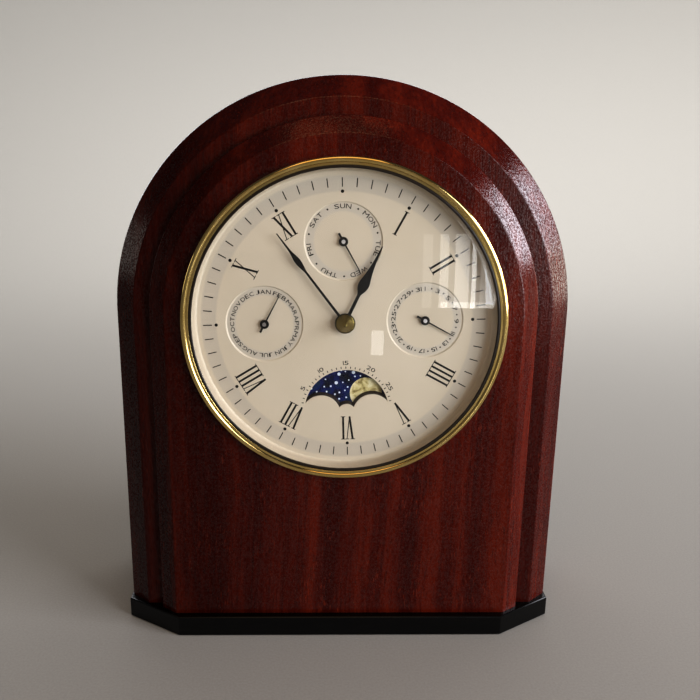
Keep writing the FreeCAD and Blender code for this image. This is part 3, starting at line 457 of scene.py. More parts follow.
# Sprayed cream lacquer on pressed brass: a warm middle, a cooler grey band under the minute marks and
# under the calendar lettering, the one under the minute marks partly painted shade from the bezel, and a
# faint orange-peel gloss.
dialLook = {
    "bandInner": 60.4, "bandOuter": 67.4,      # mm from the middle: the band under the minute marks, partly the track's own grey and partly painted shade from the bezel
    "letterInner": 13.6, "letterOuter": 17.6,  # mm from a sub-dial's middle: the band under its letters
    "soft": 0.7,                               # mm over which a band fades
    "peel": 0.7,                               # mm between the dimples of the orange peel
    "rimInner": 69.9, "rimOuter": 80.0,        # the upturned edge, painted darker than the face as painted shade
    # the band colour under the minute marks is partly painted shade from the bezel
    "cream": "#dacebc", "creamShade": "#d6cab7", "band": "#cbc1b3", "letterBand": "#cec5b8",
    # painted shade: the upturned edge is painted darker than the face
    "rimShadeTone": "#c0b3a0",
}


def makeDialLacquer(bands):
    # bands: (centre, inner radius, outer radius, colour) in metres
    look = dialLook
    material, shader = newMaterial("cream dial lacquer", Roughness=0.4, Specular_IOR_Level=0.4)
    where = addNode(material, "TexCoord").outputs["Object"]
    cloud = addNode(material, "TexNoise", {"Vector": where, "Scale": 45, "Detail": 2})
    paint = addNode(material, "ValToRGB", {"Fac": cloud}, [(0.3, look["creamShade"]),
                                                           (0.7, look["cream"])])
    soft = look["soft"] / 1000
    for centre, inner, outer, colour in bands:
        away = addNode(material, "VectorMath", {0: where, 1: centre}, operation="SUBTRACT")
        flat = addNode(material, "VectorMath", {0: away, 1: (1, 0, 1)}, operation="MULTIPLY")
        radius = addNode(material, "VectorMath", {0: flat}, operation="LENGTH")
        rise, fall = [addNode(material, "MapRange", {"Value": radius, "From Min": edge - soft,
                                                     "From Max": edge + soft, "To Min": low,
                                                     "To Max": 1 - low},
                              interpolation_type="SMOOTHSTEP") for edge, low in ((inner, 0),
                                                                                 (outer, 1))]
        inside = addNode(material, "Math", {0: rise, 1: fall}, operation="MULTIPLY")
        paint = addNode(material, "Mix", {"Factor": inside, "A": paint, "B": hexColour(colour)},
                        data_type="RGBA")
    peel = addNode(material, "TexNoise", {"Vector": where, "Scale": 1000 / look["peel"], "Detail": 2})
    raised = addNode(material, "Bump", {"Height": peel, "Strength": 0.08, "Distance": 0.0001})
    setInputs(shader, {"Base Color": paint, "Normal": raised})
    return material


def makeGlass():
    # Polished mineral glass with a thin bloom: clear, seen by its faint reflections; lamps and soft light
    # pass straight through
    material, shader = newMaterial("mineral glass", Roughness=0.0, IOR=1.37, Transmission_Weight=1.0,
                                   Base_Color=hexColour("#fbfdfb"))
    path = addNode(material, "LightPath")
    passing = addNode(material, "Math", {0: path.outputs["Is Shadow Ray"],
                                         1: path.outputs["Is Diffuse Ray"]}, operation="MAXIMUM")
    clear = addNode(material, "BsdfTransparent")
    both = addNode(material, "MixShader", {0: passing, 1: shader, 2: clear})
    setInputs(material.node_tree.nodes["Material Output"], {"Surface": both})
    return material


def makeNightSky():
    # Night sky printed on the moon disc: deep blue that darkens in soft patches, with hints of violet
    # and teal
    material, shader = newMaterial("printed night sky", Roughness=0.4, Specular_IOR_Level=0.12)
    where = addNode(material, "TexCoord").outputs["Object"]
    cloud = addNode(material, "TexNoise", {"Vector": where, "Scale": 190, "Detail": 3})
    tone = addNode(material, "ValToRGB", {"Fac": cloud}, [(0.3, "#01030f"), (0.45, "#051038"),
                                                          (0.56, "#0a1c60"), (0.68, "#0a2c4c"),
                                                          (0.8, "#150f3c")])
    setInputs(shader, {"Base Color": tone})
    return material


def makeMoonPrint():
    # Printed moon: pale gold with soft brown-grey seas
    material, shader = newMaterial("printed moon", Roughness=0.4, Specular_IOR_Level=0.4)
    where = addNode(material, "TexCoord").outputs["Object"]
    seas = addNode(material, "TexNoise", {"Vector": where, "Scale": 230, "Detail": 4,
                                          "Distortion": 0.7})
    tone = addNode(material, "ValToRGB", {"Fac": seas}, [(0.34, "#8d7b45"), (0.44, "#d9cb92"),
                                                         (0.58, "#f3ebc6")])
    setInputs(shader, {"Base Color": tone})
    return material


def makeCellJacket():
    # Printed film shrunk round the cell: dark blue with a silver end, under a clear gloss
    material, shader = newMaterial("printed cell jacket", Roughness=0.3, Coat_Weight=0.5,
                                   Coat_Roughness=0.08)
    where = addNode(material, "TexCoord").outputs["Object"]
    along = addNode(material, "SeparateXYZ", {"Vector": where}).outputs["X"]
    fine = addNode(material, "TexNoise", {"Vector": where, "Scale": 1000 / 0.6, "Detail": 2})
    blue, silver = [addNode(material, "ValToRGB", {"Fac": fine}, [(0.35, dark),
                                                                  (0.65, light)]) for dark,
                    light in (("#172a4a", "#1d3358"), ("#a9acb0", "#b6b9bc"))]
    band = addNode(material, "MapRange", {"Value": along, "From Min": 0.0125, "From Max": 0.0127})
    printed = addNode(material, "Mix", {"Factor": band, "A": blue, "B": silver}, data_type="RGBA")
    setInputs(shader, {"Base Color": printed})
    return material


def dialBand(point, part, tone):
    return point, dialLook[part + "Inner"] / 1000, dialLook[part + "Outer"] / 1000, dialLook[tone]


# the rim's darker tone is painted shade
dialBands = [dialBand(dialPoint, "band", "band"), dialBand(dialPoint, "rim", "rimShadeTone")]
dialBands += [dialBand(joints[name + "_hand_turn"]["pos_m"], "letter", "letterBand")
              for name in ("weekday", "month", "date")]
creamDial = makeDialLacquer(dialBands)
cellJacket = makeCellJacket()
mineralGlass = makeGlass()
nightSky = makeNightSky()
moonPrint = makeMoonPrint()
# Pale printed stars
starPrint = makeSpeckled("printed stars", "#f3f8ff", "#d5e2f8", 0.3, 0.02, Roughness=0.45)
print("materials made")


# wooden case: front board, case body, rear door

caseLow, caseHigh = nodeBox("case_body")
boardLow, boardHigh = nodeBox("front_board")
doorLow, doorHigh = nodeBox("rear_door")
archHeight = caseHigh.z - caseHigh.x        # centre of the round top
dialHeight = dialPoint.z * 1000

wood = {
    "faceRadius": boardHigh.x - 8.0, "frontChamferDepth": 5.6,      # the first step, out to its chamfer
    "stepRadius": caseHigh.x - 10.0, "bodyChamferDepth": 8.7,       # the second step
    "panelBack": 19.4, "wall": 12.0, "boreRadius": 74.0,
    "rebate": 4.0, "rebateGap": 0.8,                                # the seat of the rear door
    "edge": 0.45, "doorEdge": 1.0,
    "past": 3.0,                                                    # how far a cutter runs past the wood
}


def dialBore(low, high):
    return rod(wood["boreRadius"], low - wood["past"], high + wood["past"], 0, dialHeight, 120)


def makeFrontBoard():
    edge = wood["edge"]
    profile = [(0, 0), (wood["faceRadius"], 0, edge), (boardHigh.x, wood["frontChamferDepth"], edge),
               (boardHigh.x, boardHigh.y), (0, boardHigh.y)]
    board = carve(arched(profile, archHeight, boardLow.z), dialBore(0, boardHigh.y))
    addPiece("front_board_wood", board, casePlace, mahoganyFront, "clock_case",
             ["front_board"])


def makeCaseBody():
    edge = wood["edge"]
    inner = caseHigh.x - wood["wall"]
    rebate, rebateDepth = inner + wood["rebate"], doorLow.y - wood["rebateGap"]
    profile = [(0, caseLow.y), (wood["stepRadius"], caseLow.y, edge),
               (caseHigh.x, caseLow.y + wood["bodyChamferDepth"], edge), (caseHigh.x, caseHigh.y, edge),
               (rebate, caseHigh.y, edge), (rebate, rebateDepth), (inner, rebateDepth, 0.3),
               (inner, wood["panelBack"]), (0, wood["panelBack"])]
    body = carve(arched(profile, archHeight, caseLow.z), dialBore(caseLow.y, wood["panelBack"]))
    outer = [face.index for face in body.faces if abs(face.normal.y) < 0.01
             and all(math.hypot(vert.co.x, max(vert.co.z - archHeight, 0)) > caseHigh.x - 0.2
                     for vert in face.verts)]
    piece = addPiece("case_body_wood", body, casePlace, mahoganyCase, "clock_case",
                     ["case_body"])
    veneer = makeMahogany("sapele veneer, bent round the case", (0.05, 0.21, 0.4),
                          bend=(caseHigh.x / 1000, archHeight / 1000))
    piece.data.materials.append(veneer)
    for index in outer:
        piece.data.polygons[index].material_index = 1


def makeRearDoor():
    radius = doorHigh.x
    profile = [(0, doorLow.y), (radius, doorLow.y, 0.4), (radius, doorHigh.y, wood["doorEdge"]),
               (0, doorHigh.y)]
    door = arched(profile, archHeight, doorLow.z)
    addPiece("rear_door_wood", door, casePlace, mahoganyDoor, "rear_door_set", ["rear_door"])


makeFrontBoard()
makeCaseBody()
makeRearDoor()
print("wooden case made")

# plinth

plinthShape = {"cornerX": 28.8, "cornerY": 18.0, "bevel": 0.9, "cornerEdge": 0.25}


def makePlinth():
    low, high = nodeBox("plinth")
    half, cutX, cutY = high.x, plinthShape["cornerX"], plinthShape["cornerY"]
    height = high.z - low.z
    bm = bmesh.new()
    corners = [(-half + cutX, low.y), (half - cutX, low.y), (half, low.y + cutY),
               (half, high.y), (-half, high.y), (-half, low.y + cutY)]
    bm.faces.new([bm.verts.new((x, y, low.z)) for x, y in corners])
    drawnOut(bm, (0, 0, height))
    rim = [edge for edge in bm.edges if all(vert.co.z > high.z - 0.1 for vert in edge.verts)]
    bevelEdges(bm, rim, plinthShape["bevel"], 3)
    easeEdges(bm, plinthShape["cornerEdge"], 2, 20, lambda edge: edgeRun(edge, 2) > height / 2)
    addPiece("plinth_block", bm, casePlace, blackLacquer, "clock_case", ["plinth"], 25)


makePlinth()

feltPad = {"radius": 7.0, "thickness": 1.2, "crown": 3.0, "frontX": 83.4, "fluff": 0.03, "fluffSize": 1.1}


def makeFeltPad(name, x, y):
    # a disc punched from pressed felt and pushed into the plinth: crowned underneath, its cut edge fluffy
    radius, thick = feltPad["radius"], feltPad["thickness"]
    pad = turned([(0, 0), (radius - feltPad["crown"], 0), (radius - 0.9, 0.06, 0.5), (radius, 0.4, 0.25),
                  (radius, thick), (0, thick)], 96, 4)
    for vert in pad.verts:
        vert.co *= 1 - feltPad["fluff"] * abs(noise.noise(vert.co / feltPad["fluffSize"]))
    pad.transform(Matrix.Translation((x, y, 0)) @ Matrix.Rotation(math.pi / 2, 4, "X"))
    piece = addPiece(name, pad, casePlace, greenFelt, "clock_case", ["felt_pads"], 60)


padLow, padHigh = nodeBox("felt_pads")
padFront, padBack = padLow.y + feltPad["radius"], padHigh.y - feltPad["radius"]
for sideName, side in (("left", -1), ("right", 1)):
    makeFeltPad("felt_pad_front_" + sideName, side * feltPad["frontX"], padFront)
    makeFeltPad("felt_pad_back_" + sideName, side * (padHigh.x - feltPad["radius"]), padBack)
print("plinth made")

# bezel, gasket and glass

ring = {
    "outer": 76.0, "height": 4.1, "bead": 1.4, "beadWidth": 2.7,
    "lip": 72.2, "lipFront": -3.5, "seat": -3.2,
    "spigot": 73.8, "spigotWall": 0.8, "spigotLength": 9.0,
    "gasketInner": 70.8, "gasketBead": 0.25, "gasketThickness": 0.4,
    "glassRadius": 72.9, "glassThickness": 1.8, "glassRise": 5.0, "glassMargin": 0.4,
}


def makeBezel():
    # one round bead, a fine groove and the lip; the spigot behind goes into the bore
    outer, top, bead = ring["outer"], -ring["height"], ring["bead"]
    groove = outer - ring["beadWidth"]
    inner = ring["spigot"] - ring["spigotWall"]
    profile = [(ring["spigot"], ring["spigotLength"], 0.2), (ring["spigot"], 0.0), (outer, 0.0, 0.1),
               (outer, top, bead), (groove - 0.1, top, bead), (groove, ring["seat"] + 0.05),
               (groove, ring["lipFront"], 0.04), (ring["lip"], ring["lipFront"], 0.15),
               (ring["lip"], ring["seat"]), (inner, ring["seat"]), (inner, ring["spigotLength"])]
    addPiece("bezel_ring", turned(profile, 256, 9), dialPlace, polishedBrass, "clock_case",
             ["bezel"], 50)


def makeGasket():
    # the ring between lip and glass; its round bead shows inside the lip
    inner, outer, seat = ring["gasketInner"], ring["glassRadius"], ring["seat"]
    foot, top, back = ring["lip"] - 0.12, seat - ring["gasketBead"], seat + ring["gasketThickness"]
    profile = [(inner, top, 0.42), (foot, top, 0.42), (foot, seat), (outer, seat), (outer, back),
               (inner, back)]
    addPiece("gasket_ring", turned(profile, 224, 6), dialPlace, blackRubber, "clock_case",
             ["glass_gasket"], 60)


def domeArc(bm, rim, depth):
    # the section of a shallow dome: the point on its rim is spun about the sphere's centre to the axis
    rise = ring["glassRise"]
    sphere = (rim * rim + rise * rise) / (2 * rise)
    centre = (0, depth - rise + sphere, 0)
    start = bm.verts.new((rim, depth, 0))
    bmesh.ops.spin(bm, geom=[start], cent=centre, axis=(0, 0, 1), dvec=(0, 0, 0),
                   angle=-math.asin(rim / sphere), steps=48, use_merge=False, use_duplicate=False)


def makeGlassPiece():
    # front and back domes, joined by the flat edge that the gasket holds
    rim, edge = ring["gasketInner"] - ring["glassMargin"], ring["glassRadius"]
    front = ring["seat"] + ring["gasketThickness"]
    back = front + ring["glassThickness"]
    bm = bmesh.new()
    domeArc(bm, rim, front)
    domeArc(bm, rim, back)
    profileLine(bm, [(rim, front), (edge, front, 0.1), (edge, back, 0.1), (rim, back)], False)
    bmesh.ops.remove_doubles(bm, verts=bm.verts, dist=0.001)
    spinRound(bm, 192)
    addPiece("convex_glass", bm, dialPlace, mineralGlass, "clock_case", ["glass"], 50)


makeBezel()
makeGasket()
makeGlassPiece()
print("bezel, gasket and glass made")

# dial plate with its recesses and the moon aperture

dial = {
    "face": 4.5, "thickness": 1.2, "flat": 69.6, "bend": (70.75, 2.4), "rim": 71.4,
    "collarTop": -1.0, "sheet": 0.8,
    "subRadius": 17.9, "subSlope": 0.32, "subDepth": 0.5, "pipeHole": 2.2, "pinHole": 1.25,
}
moon = {
    "window": 20.25, "orbit": 12.35, "humpDrop": 1.45, "humpRadius": 9.4,
    "middleRadius": 4.35, "middleDrop": 1.0,
    "lip": 0.3, "flangeWall": 0.5, "flangeLength": 1.2, "sillLean": 1.2,
    "face": 7.8, "faceAngle": 50.5, "disc": 21.4,
    "stars": 62, "starGap": 2.1, "starToMoon": 0.9, "bigStar": 0.84, "smallStar": (0.36, 0.5),
}
subDials = {name: onDial(joints[name + "_hand_turn"]["pos_m"]) for name in ("weekday", "month", "date")}
moonCentre = onDial(joints["moon_disc_turn"]["pos_m"])


def subDialCutter(centre):
    face, depth = dial["face"], dial["subDepth"]
    slope = dial["subSlope"] / depth      # the wall leans by this much for each mm of depth
    return turned([(0, face - 1), (dial["subRadius"] + dial["subSlope"] + slope * 2, face - 1),
                   (dial["subRadius"] - dial["subSlope"], face + depth), (0, face + depth)], 144,
                  at=(centre.x, centre.z))


def windowRod(radius, x, z, near, far, nearGrow, farGrow):
    # a cutter whose radius changes evenly between two depths
    return turned([(0, near), (radius + nearGrow, near), (radius + farGrow, far), (0, far)], 144,
                  at=(x, z))


def moonWindow(near, far, nearGrow=0.0, farGrow=0.0, sillFar=0.0):
    # the round sky less its three humps, from one depth to another; grow widens the opening,
    # and sillFar raises the humps' back edge
    humpZ = moonCentre.z - moon["humpDrop"]
    sky = windowRod(moon["window"], 0, moonCentre.z, near, far, nearGrow, farGrow)
    deeper = (far - near) / 4
    slope = (sillFar - farGrow + nearGrow) / (far - near)
    ends = (near - deeper, far + deeper, -nearGrow - slope * deeper, sillFar - farGrow + slope * deeper)
    humps = [windowRod(moon["humpRadius"], side * moon["orbit"], humpZ, *ends) for side in (-1, 1)]
    humps.append(windowRod(moon["middleRadius"], 0, moonCentre.z - moon["middleDrop"], *ends))
    below = box((-30, near - 3, humpZ - 40), (30, far + 3, humpZ + 1.0 - nearGrow))
    return carve(sky, below, *humps)


def makeDialPlate():
    face, back = dial["face"], dial["face"] + dial["thickness"]
    top, rim, sheet = dial["collarTop"], dial["rim"], dial["sheet"]
    profile = [(0, face), (dial["flat"], face, 0.5), dial["bend"] + (0.8,), (rim, top, 0.15),
               (ring["glassRadius"], top), (ring["glassRadius"], top + sheet),
               (rim + sheet, top + sheet, 0.2), (rim + sheet, back, 0.4), (0, back)]
    plate = turned(profile, 192, 4)
    holes = [subDialCutter(at) for at in subDials.values()]
    holes += [rod(dial["pinHole"], face - 1, back + 1, at.x, at.z, 48) for at in subDials.values()]
    holes.append(rod(dial["pipeHole"], face - 1, back + 1, steps=48))
    lip = face + moon["lip"]
    holes.append(moonWindow(face - moon["lip"], lip + 0.01, moon["lip"], 0.0))
    holes.append(moonWindow(lip, back + 1, moon["flangeWall"], moon["flangeWall"]))
    plate = carve(plate, *holes)
    addPiece("dial_face", plate, dialPlace, creamDial, "clock_case", ["dial_plate"], 24)


def makeMoonSill():
    # the turned-in edge of the window: a dark brown frame that leans in over the humps, its colour partly
    # enamel and partly painted shade
    near, far = dial["face"] + moon["lip"] + 0.02, dial["face"] + dial["thickness"] + moon["flangeLength"]
    wall = moon["flangeWall"] - 0.04
    frame = moonWindow(near, far, wall, wall)
    frame = carve(frame, moonWindow(near - 0.5, far + 0.5, 0.0, 0.0, moon["sillLean"]))
    # the frame's dark brown is partly painted shade in the window's edge
    addPiece("moon_window_sill", frame, dialPlace, sillPaintAndShade, "clock_case", sharp=30)


makeDialPlate()
makeMoonSill()
print("dial plate made")

# printing on the dial: thin raised ink

ink = {
    "rise": 0.04, "sunk": 0.05,
    "tickInner": 62.4, "tickOuter": 66.5, "tickWidth": 0.44, "dotRadius": 60.4, "dotSize": 0.76,
    "numeralInner": 46.85, "numeralOuter": 58.35, "thick": 0.95, "thin": 0.38,
    "serif": 0.32, "serifReach": 0.62, "serifJoin": 0.3, "serifFar": 2.6,    # serifs this near become one
    "moonTickInner": 21.1, "moonTickOuter": 22.1, "moonTickWidth": 0.38,
}
# radius to the letters' middle, their height and the gap between them; then the dots' radius and size
lettering = {
    "weekday": (16.05, 2.1, 0.45, 16.15, 0.42),
    "month": (15.2, 1.9, 0.42),
    "date": (15.0, 2.0, 0.4, 15.25, 0.37),
    "moon": (23.9, 2.0, 0.35),
}


def spot(angle, radius, centre=(0, 0)):
    # turn a shape drawn at the top of a circle to a clock angle
    return Matrix.Translation((centre[0], 0, centre[1])) @ Matrix.Rotation(math.radians(angle), 4, "Y") \
        @ Matrix.Translation((0, 0, radius))


def inkStroke(bm, start, end, width, face, lift=0.0):
    # one printed stroke between two (x, z) points
    a, b = Vector((start[0], 0, start[1])), Vector((end[0], 0, end[1]))
    high = ink["rise"] + lift
    middle = (a + b) / 2 + Vector((0, face + (ink["sunk"] - high) / 2, 0))
    slope = math.atan2(b.x - a.x, b.z - a.z)
    size = Matrix.Diagonal((width, high + ink["sunk"], (b - a).length, 1))
    place = Matrix.Translation(middle) @ Matrix.Rotation(slope, 4, "Y")
    bmesh.ops.create_cube(bm, size=1, matrix=place @ size)


def inkDot(bm, radius, place, face, steps=20):
    high = ink["rise"] + ink["sunk"]
    stand = Matrix.Translation((0, face + ink["sunk"] - high / 2, 0))
    bmesh.ops.create_cone(bm, cap_ends=True, segments=steps, radius1=radius, radius2=radius, depth=high,
                          matrix=place @ stand @ Matrix.Rotation(math.pi / 2, 4, "X"))


def turnedPrint(bm, place, draw, *drawing):
    # draw at the top of the circle, turn that to its place and add it
    part = bmesh.new()
    draw(part, *drawing)
    part.transform(place)
    return join(bm, part)


def addPrint(name, bm):
    addPiece(name, bm, dialPlace, dialInk, "clock_case")


def makeMinuteTrack():
    bm = bmesh.new()
    face = dial["face"]
    for minute in range(60):
        bm = turnedPrint(bm, spot(minute * 6, 0), inkStroke, (0, ink["tickInner"]), (0, ink["tickOuter"]),
                         ink["tickWidth"], face)
    for hour in range(12):
        inkDot(bm, ink["dotSize"], spot(hour * 30, ink["dotRadius"]), face)
    addPrint("minute_track_print", bm)


# strokes of the numerals: thick uprights at x, and V and X by their middles, read with tops outward;
# each leg of V and X leans from x at its top to x at its foot
numerals = {
    1: [("I", 0.1)],
    2: [("I", -1.2), ("I", 1.3)],
    4: [("I", -3.6), ("I", -1.2), ("I", 1.2), ("I", 3.6)],
    5: [("V", 0.0)],
    6: [("V", -1.35), ("I", 1.8)],
    7: [("V", -2.15), ("I", 0.95), ("I", 3.35)],
    8: [("V", -4.1), ("I", -1.1), ("I", 1.35), ("I", 3.8)],
    10: [("X", -0.1)],
    11: [("X", -1.3), ("I", 2.0)],
}


def drawNumeral(bm, strokes):
    low, high, face = ink["numeralInner"], ink["numeralOuter"], dial["face"]
    reach = ink["thick"] / 2 + ink["serifReach"]
    crossing = 0.002            # a stroke that crosses another lies this much above it, a serif twice
    bottoms, tops = [], []      # ends that serifs join
    for kind, x in strokes:
        if kind == "I":
            inkStroke(bm, (x, low), (x, high), ink["thick"], face)
            bottoms.append(x)
            tops.append(x)
        elif kind == "V":
            inkStroke(bm, (x - 1.35, high), (x + 0.02, low - 0.1), ink["thick"], face)
            inkStroke(bm, (x + 1.4, high), (x + 0.1, low + 0.5), ink["thin"], face, crossing)
            tops += [x - 1.35, x + 1.4]
        else:
            inkStroke(bm, (x - 1.4, high), (x + 1.35, low), ink["thick"], face)
            inkStroke(bm, (x + 1.25, high), (x - 1.5, low), ink["thin"], face, crossing)
            tops += [x - 1.4, x + 1.25]
            bottoms += [x - 1.5, x + 1.35]
    for level, places in ((low, bottoms), (high, tops)):
        serifs = []
        for x in sorted(places):
            if serifs and x - serifs[-1][1] < min(2 * reach + ink["serifJoin"], ink["serifFar"]):
                serifs[-1][1] = x
            else:
                serifs.append([x, x])
        for left, right in serifs:
            inkStroke(bm, (left - reach, level), (right + reach, level), ink["serif"], face, 2 * crossing)


def makeNumerals():
    bm = bmesh.new()
    for hour, strokes in numerals.items():
        bm = turnedPrint(bm, spot(hour * 30, 0), drawNumeral, strokes)
    addPrint("roman_numerals_print", bm)


# widths of the wide engraver's letters, as shares of their height
letterWidths = {"M": 1.38, "W": 1.5, "O": 1.2, "A": 1.2, "G": 1.15, "N": 1.14, "E": 0.98, "F": 0.95,
                "J": 0.92, "L": 0.9, "S": 1.05, "T": 1.05, "I": 0.16, "1": 0.17,
                "other": 1.1, "digit": 1.0}


def letterMesh(letter, height):
    # one letter as a thin solid, its foot at z = 0 and its middle at x = 0
    curve = bpy.data.curves.new("letter", "FONT")
    curve.body = letter
    curve.extrude = 0.5
    curve.resolution_u = 3
    text = bpy.data.objects.new("letter", curve)
    scene.collection.objects.link(text)
    bpy.context.view_layer.update()
    mesh = bpy.data.meshes.new_from_object(text)
    bpy.data.objects.remove(text)
    bpy.data.curves.remove(curve)
    xs = [vert.co.x for vert in mesh.vertices]
    ys = [vert.co.y for vert in mesh.vertices]
    wide = height * letterWidths.get(letter, letterWidths["digit" if letter.isdigit() else "other"])
    mesh.transform(Matrix.Translation((-(max(xs) + min(xs)) / 2, -min(ys), 0)))
    scale = (wide / (max(xs) - min(xs)), height / (max(ys) - min(ys)), ink["rise"] + ink["sunk"], 1)
    mesh.transform(Matrix.Rotation(math.pi / 2, 4, "X") @ Matrix.Diagonal(scale))
    return mesh, wide


def writeArc(bm, word, middle, angle, height, centre, face, gap):
    # letters along a circle, tops outward; middle is the radius of their half height
    letters = [letterMesh(letter, height) for letter in word]
    length = sum(wide for mesh, wide in letters) + gap * (len(word) - 1)
    along = -length / 2
    for mesh, wide in letters:
        place = spot(angle + math.degrees((along + wide / 2) / middle), middle - height / 2, centre)
        mesh.transform(place @ Matrix.Translation((0, face + (ink["sunk"] - ink["rise"]) / 2, 0)))
        bm.from_mesh(mesh)
        bpy.data.meshes.remove(mesh)
        along += wide + gap


def makeSubDialPrint(name, words, step):
    # words round a sub-dial, step degrees apart; an empty word is a dot
    floor = dial["face"] + dial["subDepth"]
    centre = (subDials[name].x, subDials[name].z)
    radius, height, gap, *dots = lettering[name]
    bm = bmesh.new()
    for i, word in enumerate(words):
        if word:
            writeArc(bm, word, radius, i * step, height, centre, floor, gap)
        else:
            inkDot(bm, dots[1], spot(i * step, dots[0], centre), floor, 14)
    addPrint(name + "_print", bm)


def makeMoonScale():
    # a tick for each day of the moon, 6 degrees apart about the fifteenth, and every fifth day's number
    bm = bmesh.new()
    centre, face = (0, moonCentre.z), dial["face"]
    for day in range(2, 29):
        bm = turnedPrint(bm, spot((day - 15) * 6, 0, centre), inkStroke, (0, ink["moonTickInner"]),
                         (0, ink["moonTickOuter"]), ink["moonTickWidth"], face)
    radius, height, gap = lettering["moon"]
    for day in (5, 10, 15, 20, 25):
        writeArc(bm, str(day), radius, (day - 15) * 6.05, height, centre, face, gap)
    addPrint("moon_scale_print", bm)


makeMinuteTrack()
makeNumerals()
makeSubDialPrint("weekday", "SUN  MON  TUE  WED  THU  FRI  SAT ".split(" "), 180 / 7)
makeSubDialPrint("month", "JAN FEB MAR APR MAY JUN JUL AUG SEP OCT NOV DEC".split(), 30)
makeSubDialPrint("date", [str(day) if day % 2 else "" for day in range(1, 32)], 360 / 31)
makeMoonScale()
print("dial printing made")

# moon disc

def makeMoonDisc():
    low, high = nodeBox("moon_disc")
    front = low.y
    sky = rod(moon["disc"], front, high.y, 0, moonCentre.z, 128, 0.1)
    addPiece("moon_sky", sky, dialPlace, nightSky, "moon_set", ["moon_disc"])
    faces = bmesh.new()
    for angle in (moon["faceAngle"], moon["faceAngle"] + 180):
        inkDot(faces, moon["face"], spot(angle, moon["orbit"], (0, moonCentre.z)), front, 96)
    addPiece("moon_faces", faces, dialPlace, moonPrint, "moon_set")
    stars = bmesh.new()
    dice = random.Random(11)
    placed = []
    moons = [spot(moon["faceAngle"] + turn, moon["orbit"]).translation for turn in (0, 180)]
    clear = moon["face"] + moon["starToMoon"]
    while len(placed) < moon["stars"]:
        angle, out = dice.uniform(0, 2 * math.pi), moon["disc"] * math.sqrt(dice.uniform(0.01, 0.88))
        here = Vector((out * math.sin(angle), 0, out * math.cos(angle)))
        if all((here - other).length > clear for other in moons) \
                and all((here - other).length > moon["starGap"] for other in placed):
            placed.append(here)
            size = moon["bigStar"] if len(placed) % 8 == 0 else dice.uniform(*moon["smallStar"])
            inkDot(stars, size, Matrix.Translation((here.x, 0, here.z + moonCentre.z)), front, 14)
    addPiece("moon_stars", stars, dialPlace, starPrint, "moon_set")


makeMoonDisc()
print("moon disc made")

# hands

# blades: (distance from the axis, half width, rounding); hubs: (radius, bore)
hands = {
    "thickness": 0.4, "edge": 0.07,
    "minute": [(0.0, 0.62), (30.6, 0.5), (36.0, 1.55, 1.8), (41.8, 0.5, 1.2), (52.0, 0.22)],
    "hour": [(0.0, 0.8), (15.0, 0.74, 0.8), (17.8, 2.3, 1.4), (20.3, 2.66, 1.4), (27.6, 0.98, 4.0),
             (39.6, 0.22)],
    "sub": [(-4.4, 0.5), (-1.0, 0.42), (2.2, 0.34), (15.5, 0.2)],
    "minuteHub": (4.8, 1.0), "hourHub": (3.6, 1.9), "subHub": (2.15, 0.95),
}


def handOutline(half):
    # one side of the blade and its mirror image about the hand's own line
    bm = bmesh.new()
    points = [(item, item[1]) for item in half] + [(item, -item[1]) for item in reversed(half)]
    loop = [bm.verts.new((x, 0, item[0])) for item, x in points]
    for pair in zip(loop, loop[1:] + loop[:1]):
        bm.edges.new(pair)
    rounded(bm, [(vert, item[2]) for vert, (item, x) in zip(loop, points) if len(item) > 2], 8)
    bmesh.ops.contextual_create(bm, geom=bm.edges[:])
    return bm


def handAngle(node, centre):
    # clock angle of a hand at rest: the way from its axis to the point of its mesh that is furthest out
    inverse = dialPlace.inverted()
    points = [inverse @ vert.co for vert in frame["nodes"][node].data.vertices]
    tip = max(points, key=lambda p: math.hypot(p.x - centre[0], p.z - centre[1]))
    return math.degrees(math.atan2(tip.x - centre[0], tip.z - centre[1]))


def makeHand(kind, node, body, centre=(0, 0)):
    hub, bore = hands[kind + "Hub"]
    blade = handOutline(hands[kind])
    drawnOut(blade, (0, hands["thickness"], 0))
    hand = carve(blade, rod(hub, 0, hands["thickness"], steps=72), operation="UNION")
    hand = carve(hand, rod(bore, -1, 1, steps=48))
    easeEdges(hand, hands["edge"], 2, 40, lambda edge: all(vert.co.y < 0.01 for vert in edge.verts))
    place = spot(handAngle(node, centre), 0, centre) @ Matrix.Translation((0, nodeBox(node)[0].y, 0))
    hand.transform(place)
    addPiece(node + "_blade", hand, dialPlace, handLacquer, body, [node], 30)


makeHand("minute", "minute_hand", "minute_hand_set")
makeHand("hour", "hour_hand", "hour_hand_set")
for name, point in subDials.items():
    makeHand("sub", name + "_hand", name + "_set", (point.x, point.z))
print("hands made")

cap = {"radius": 4.4, "collar": 0.9, "cone": 4.0, "tip": 0.5}


def makeCapNut():
    # turned brass nut: a round collar, a ledge, and a straight cone that ends in a small round tip
    base, apex = nodeBox("minute_hand")[0].y, nodeBox("cap_nut")[0].y
    ledge = base - cap["collar"]
    profile = [(0, base), (cap["radius"], base), (cap["radius"], ledge, 0.18), (cap["cone"], ledge, 0.05),
               (cap["tip"], apex, 0.35), (0, apex)]
    # the cap's darker brass is painted shade for the dark room it mirrors
    addPiece("cap_nut_cone", turned(profile), dialPlace, capBrassDarkened, "minute_hand_set",
             ["cap_nut"], 40)


makeCapNut()
print("cap nut made")

# door knob, hinges and magnetic catch

# foot ring, hollow waist and round head: (radius, height, rounding)
knobTurning = [(3.4, 0.0), (3.4, 0.9, 0.3), (2.7, 1.15, 0.1), (2.4, 2.6, 0.6), (2.7, 3.9, 0.5),
               (4.6, 4.5, 0.9), (5.5, 6.7, 1.1), (4.4, 9.3, 1.3)]


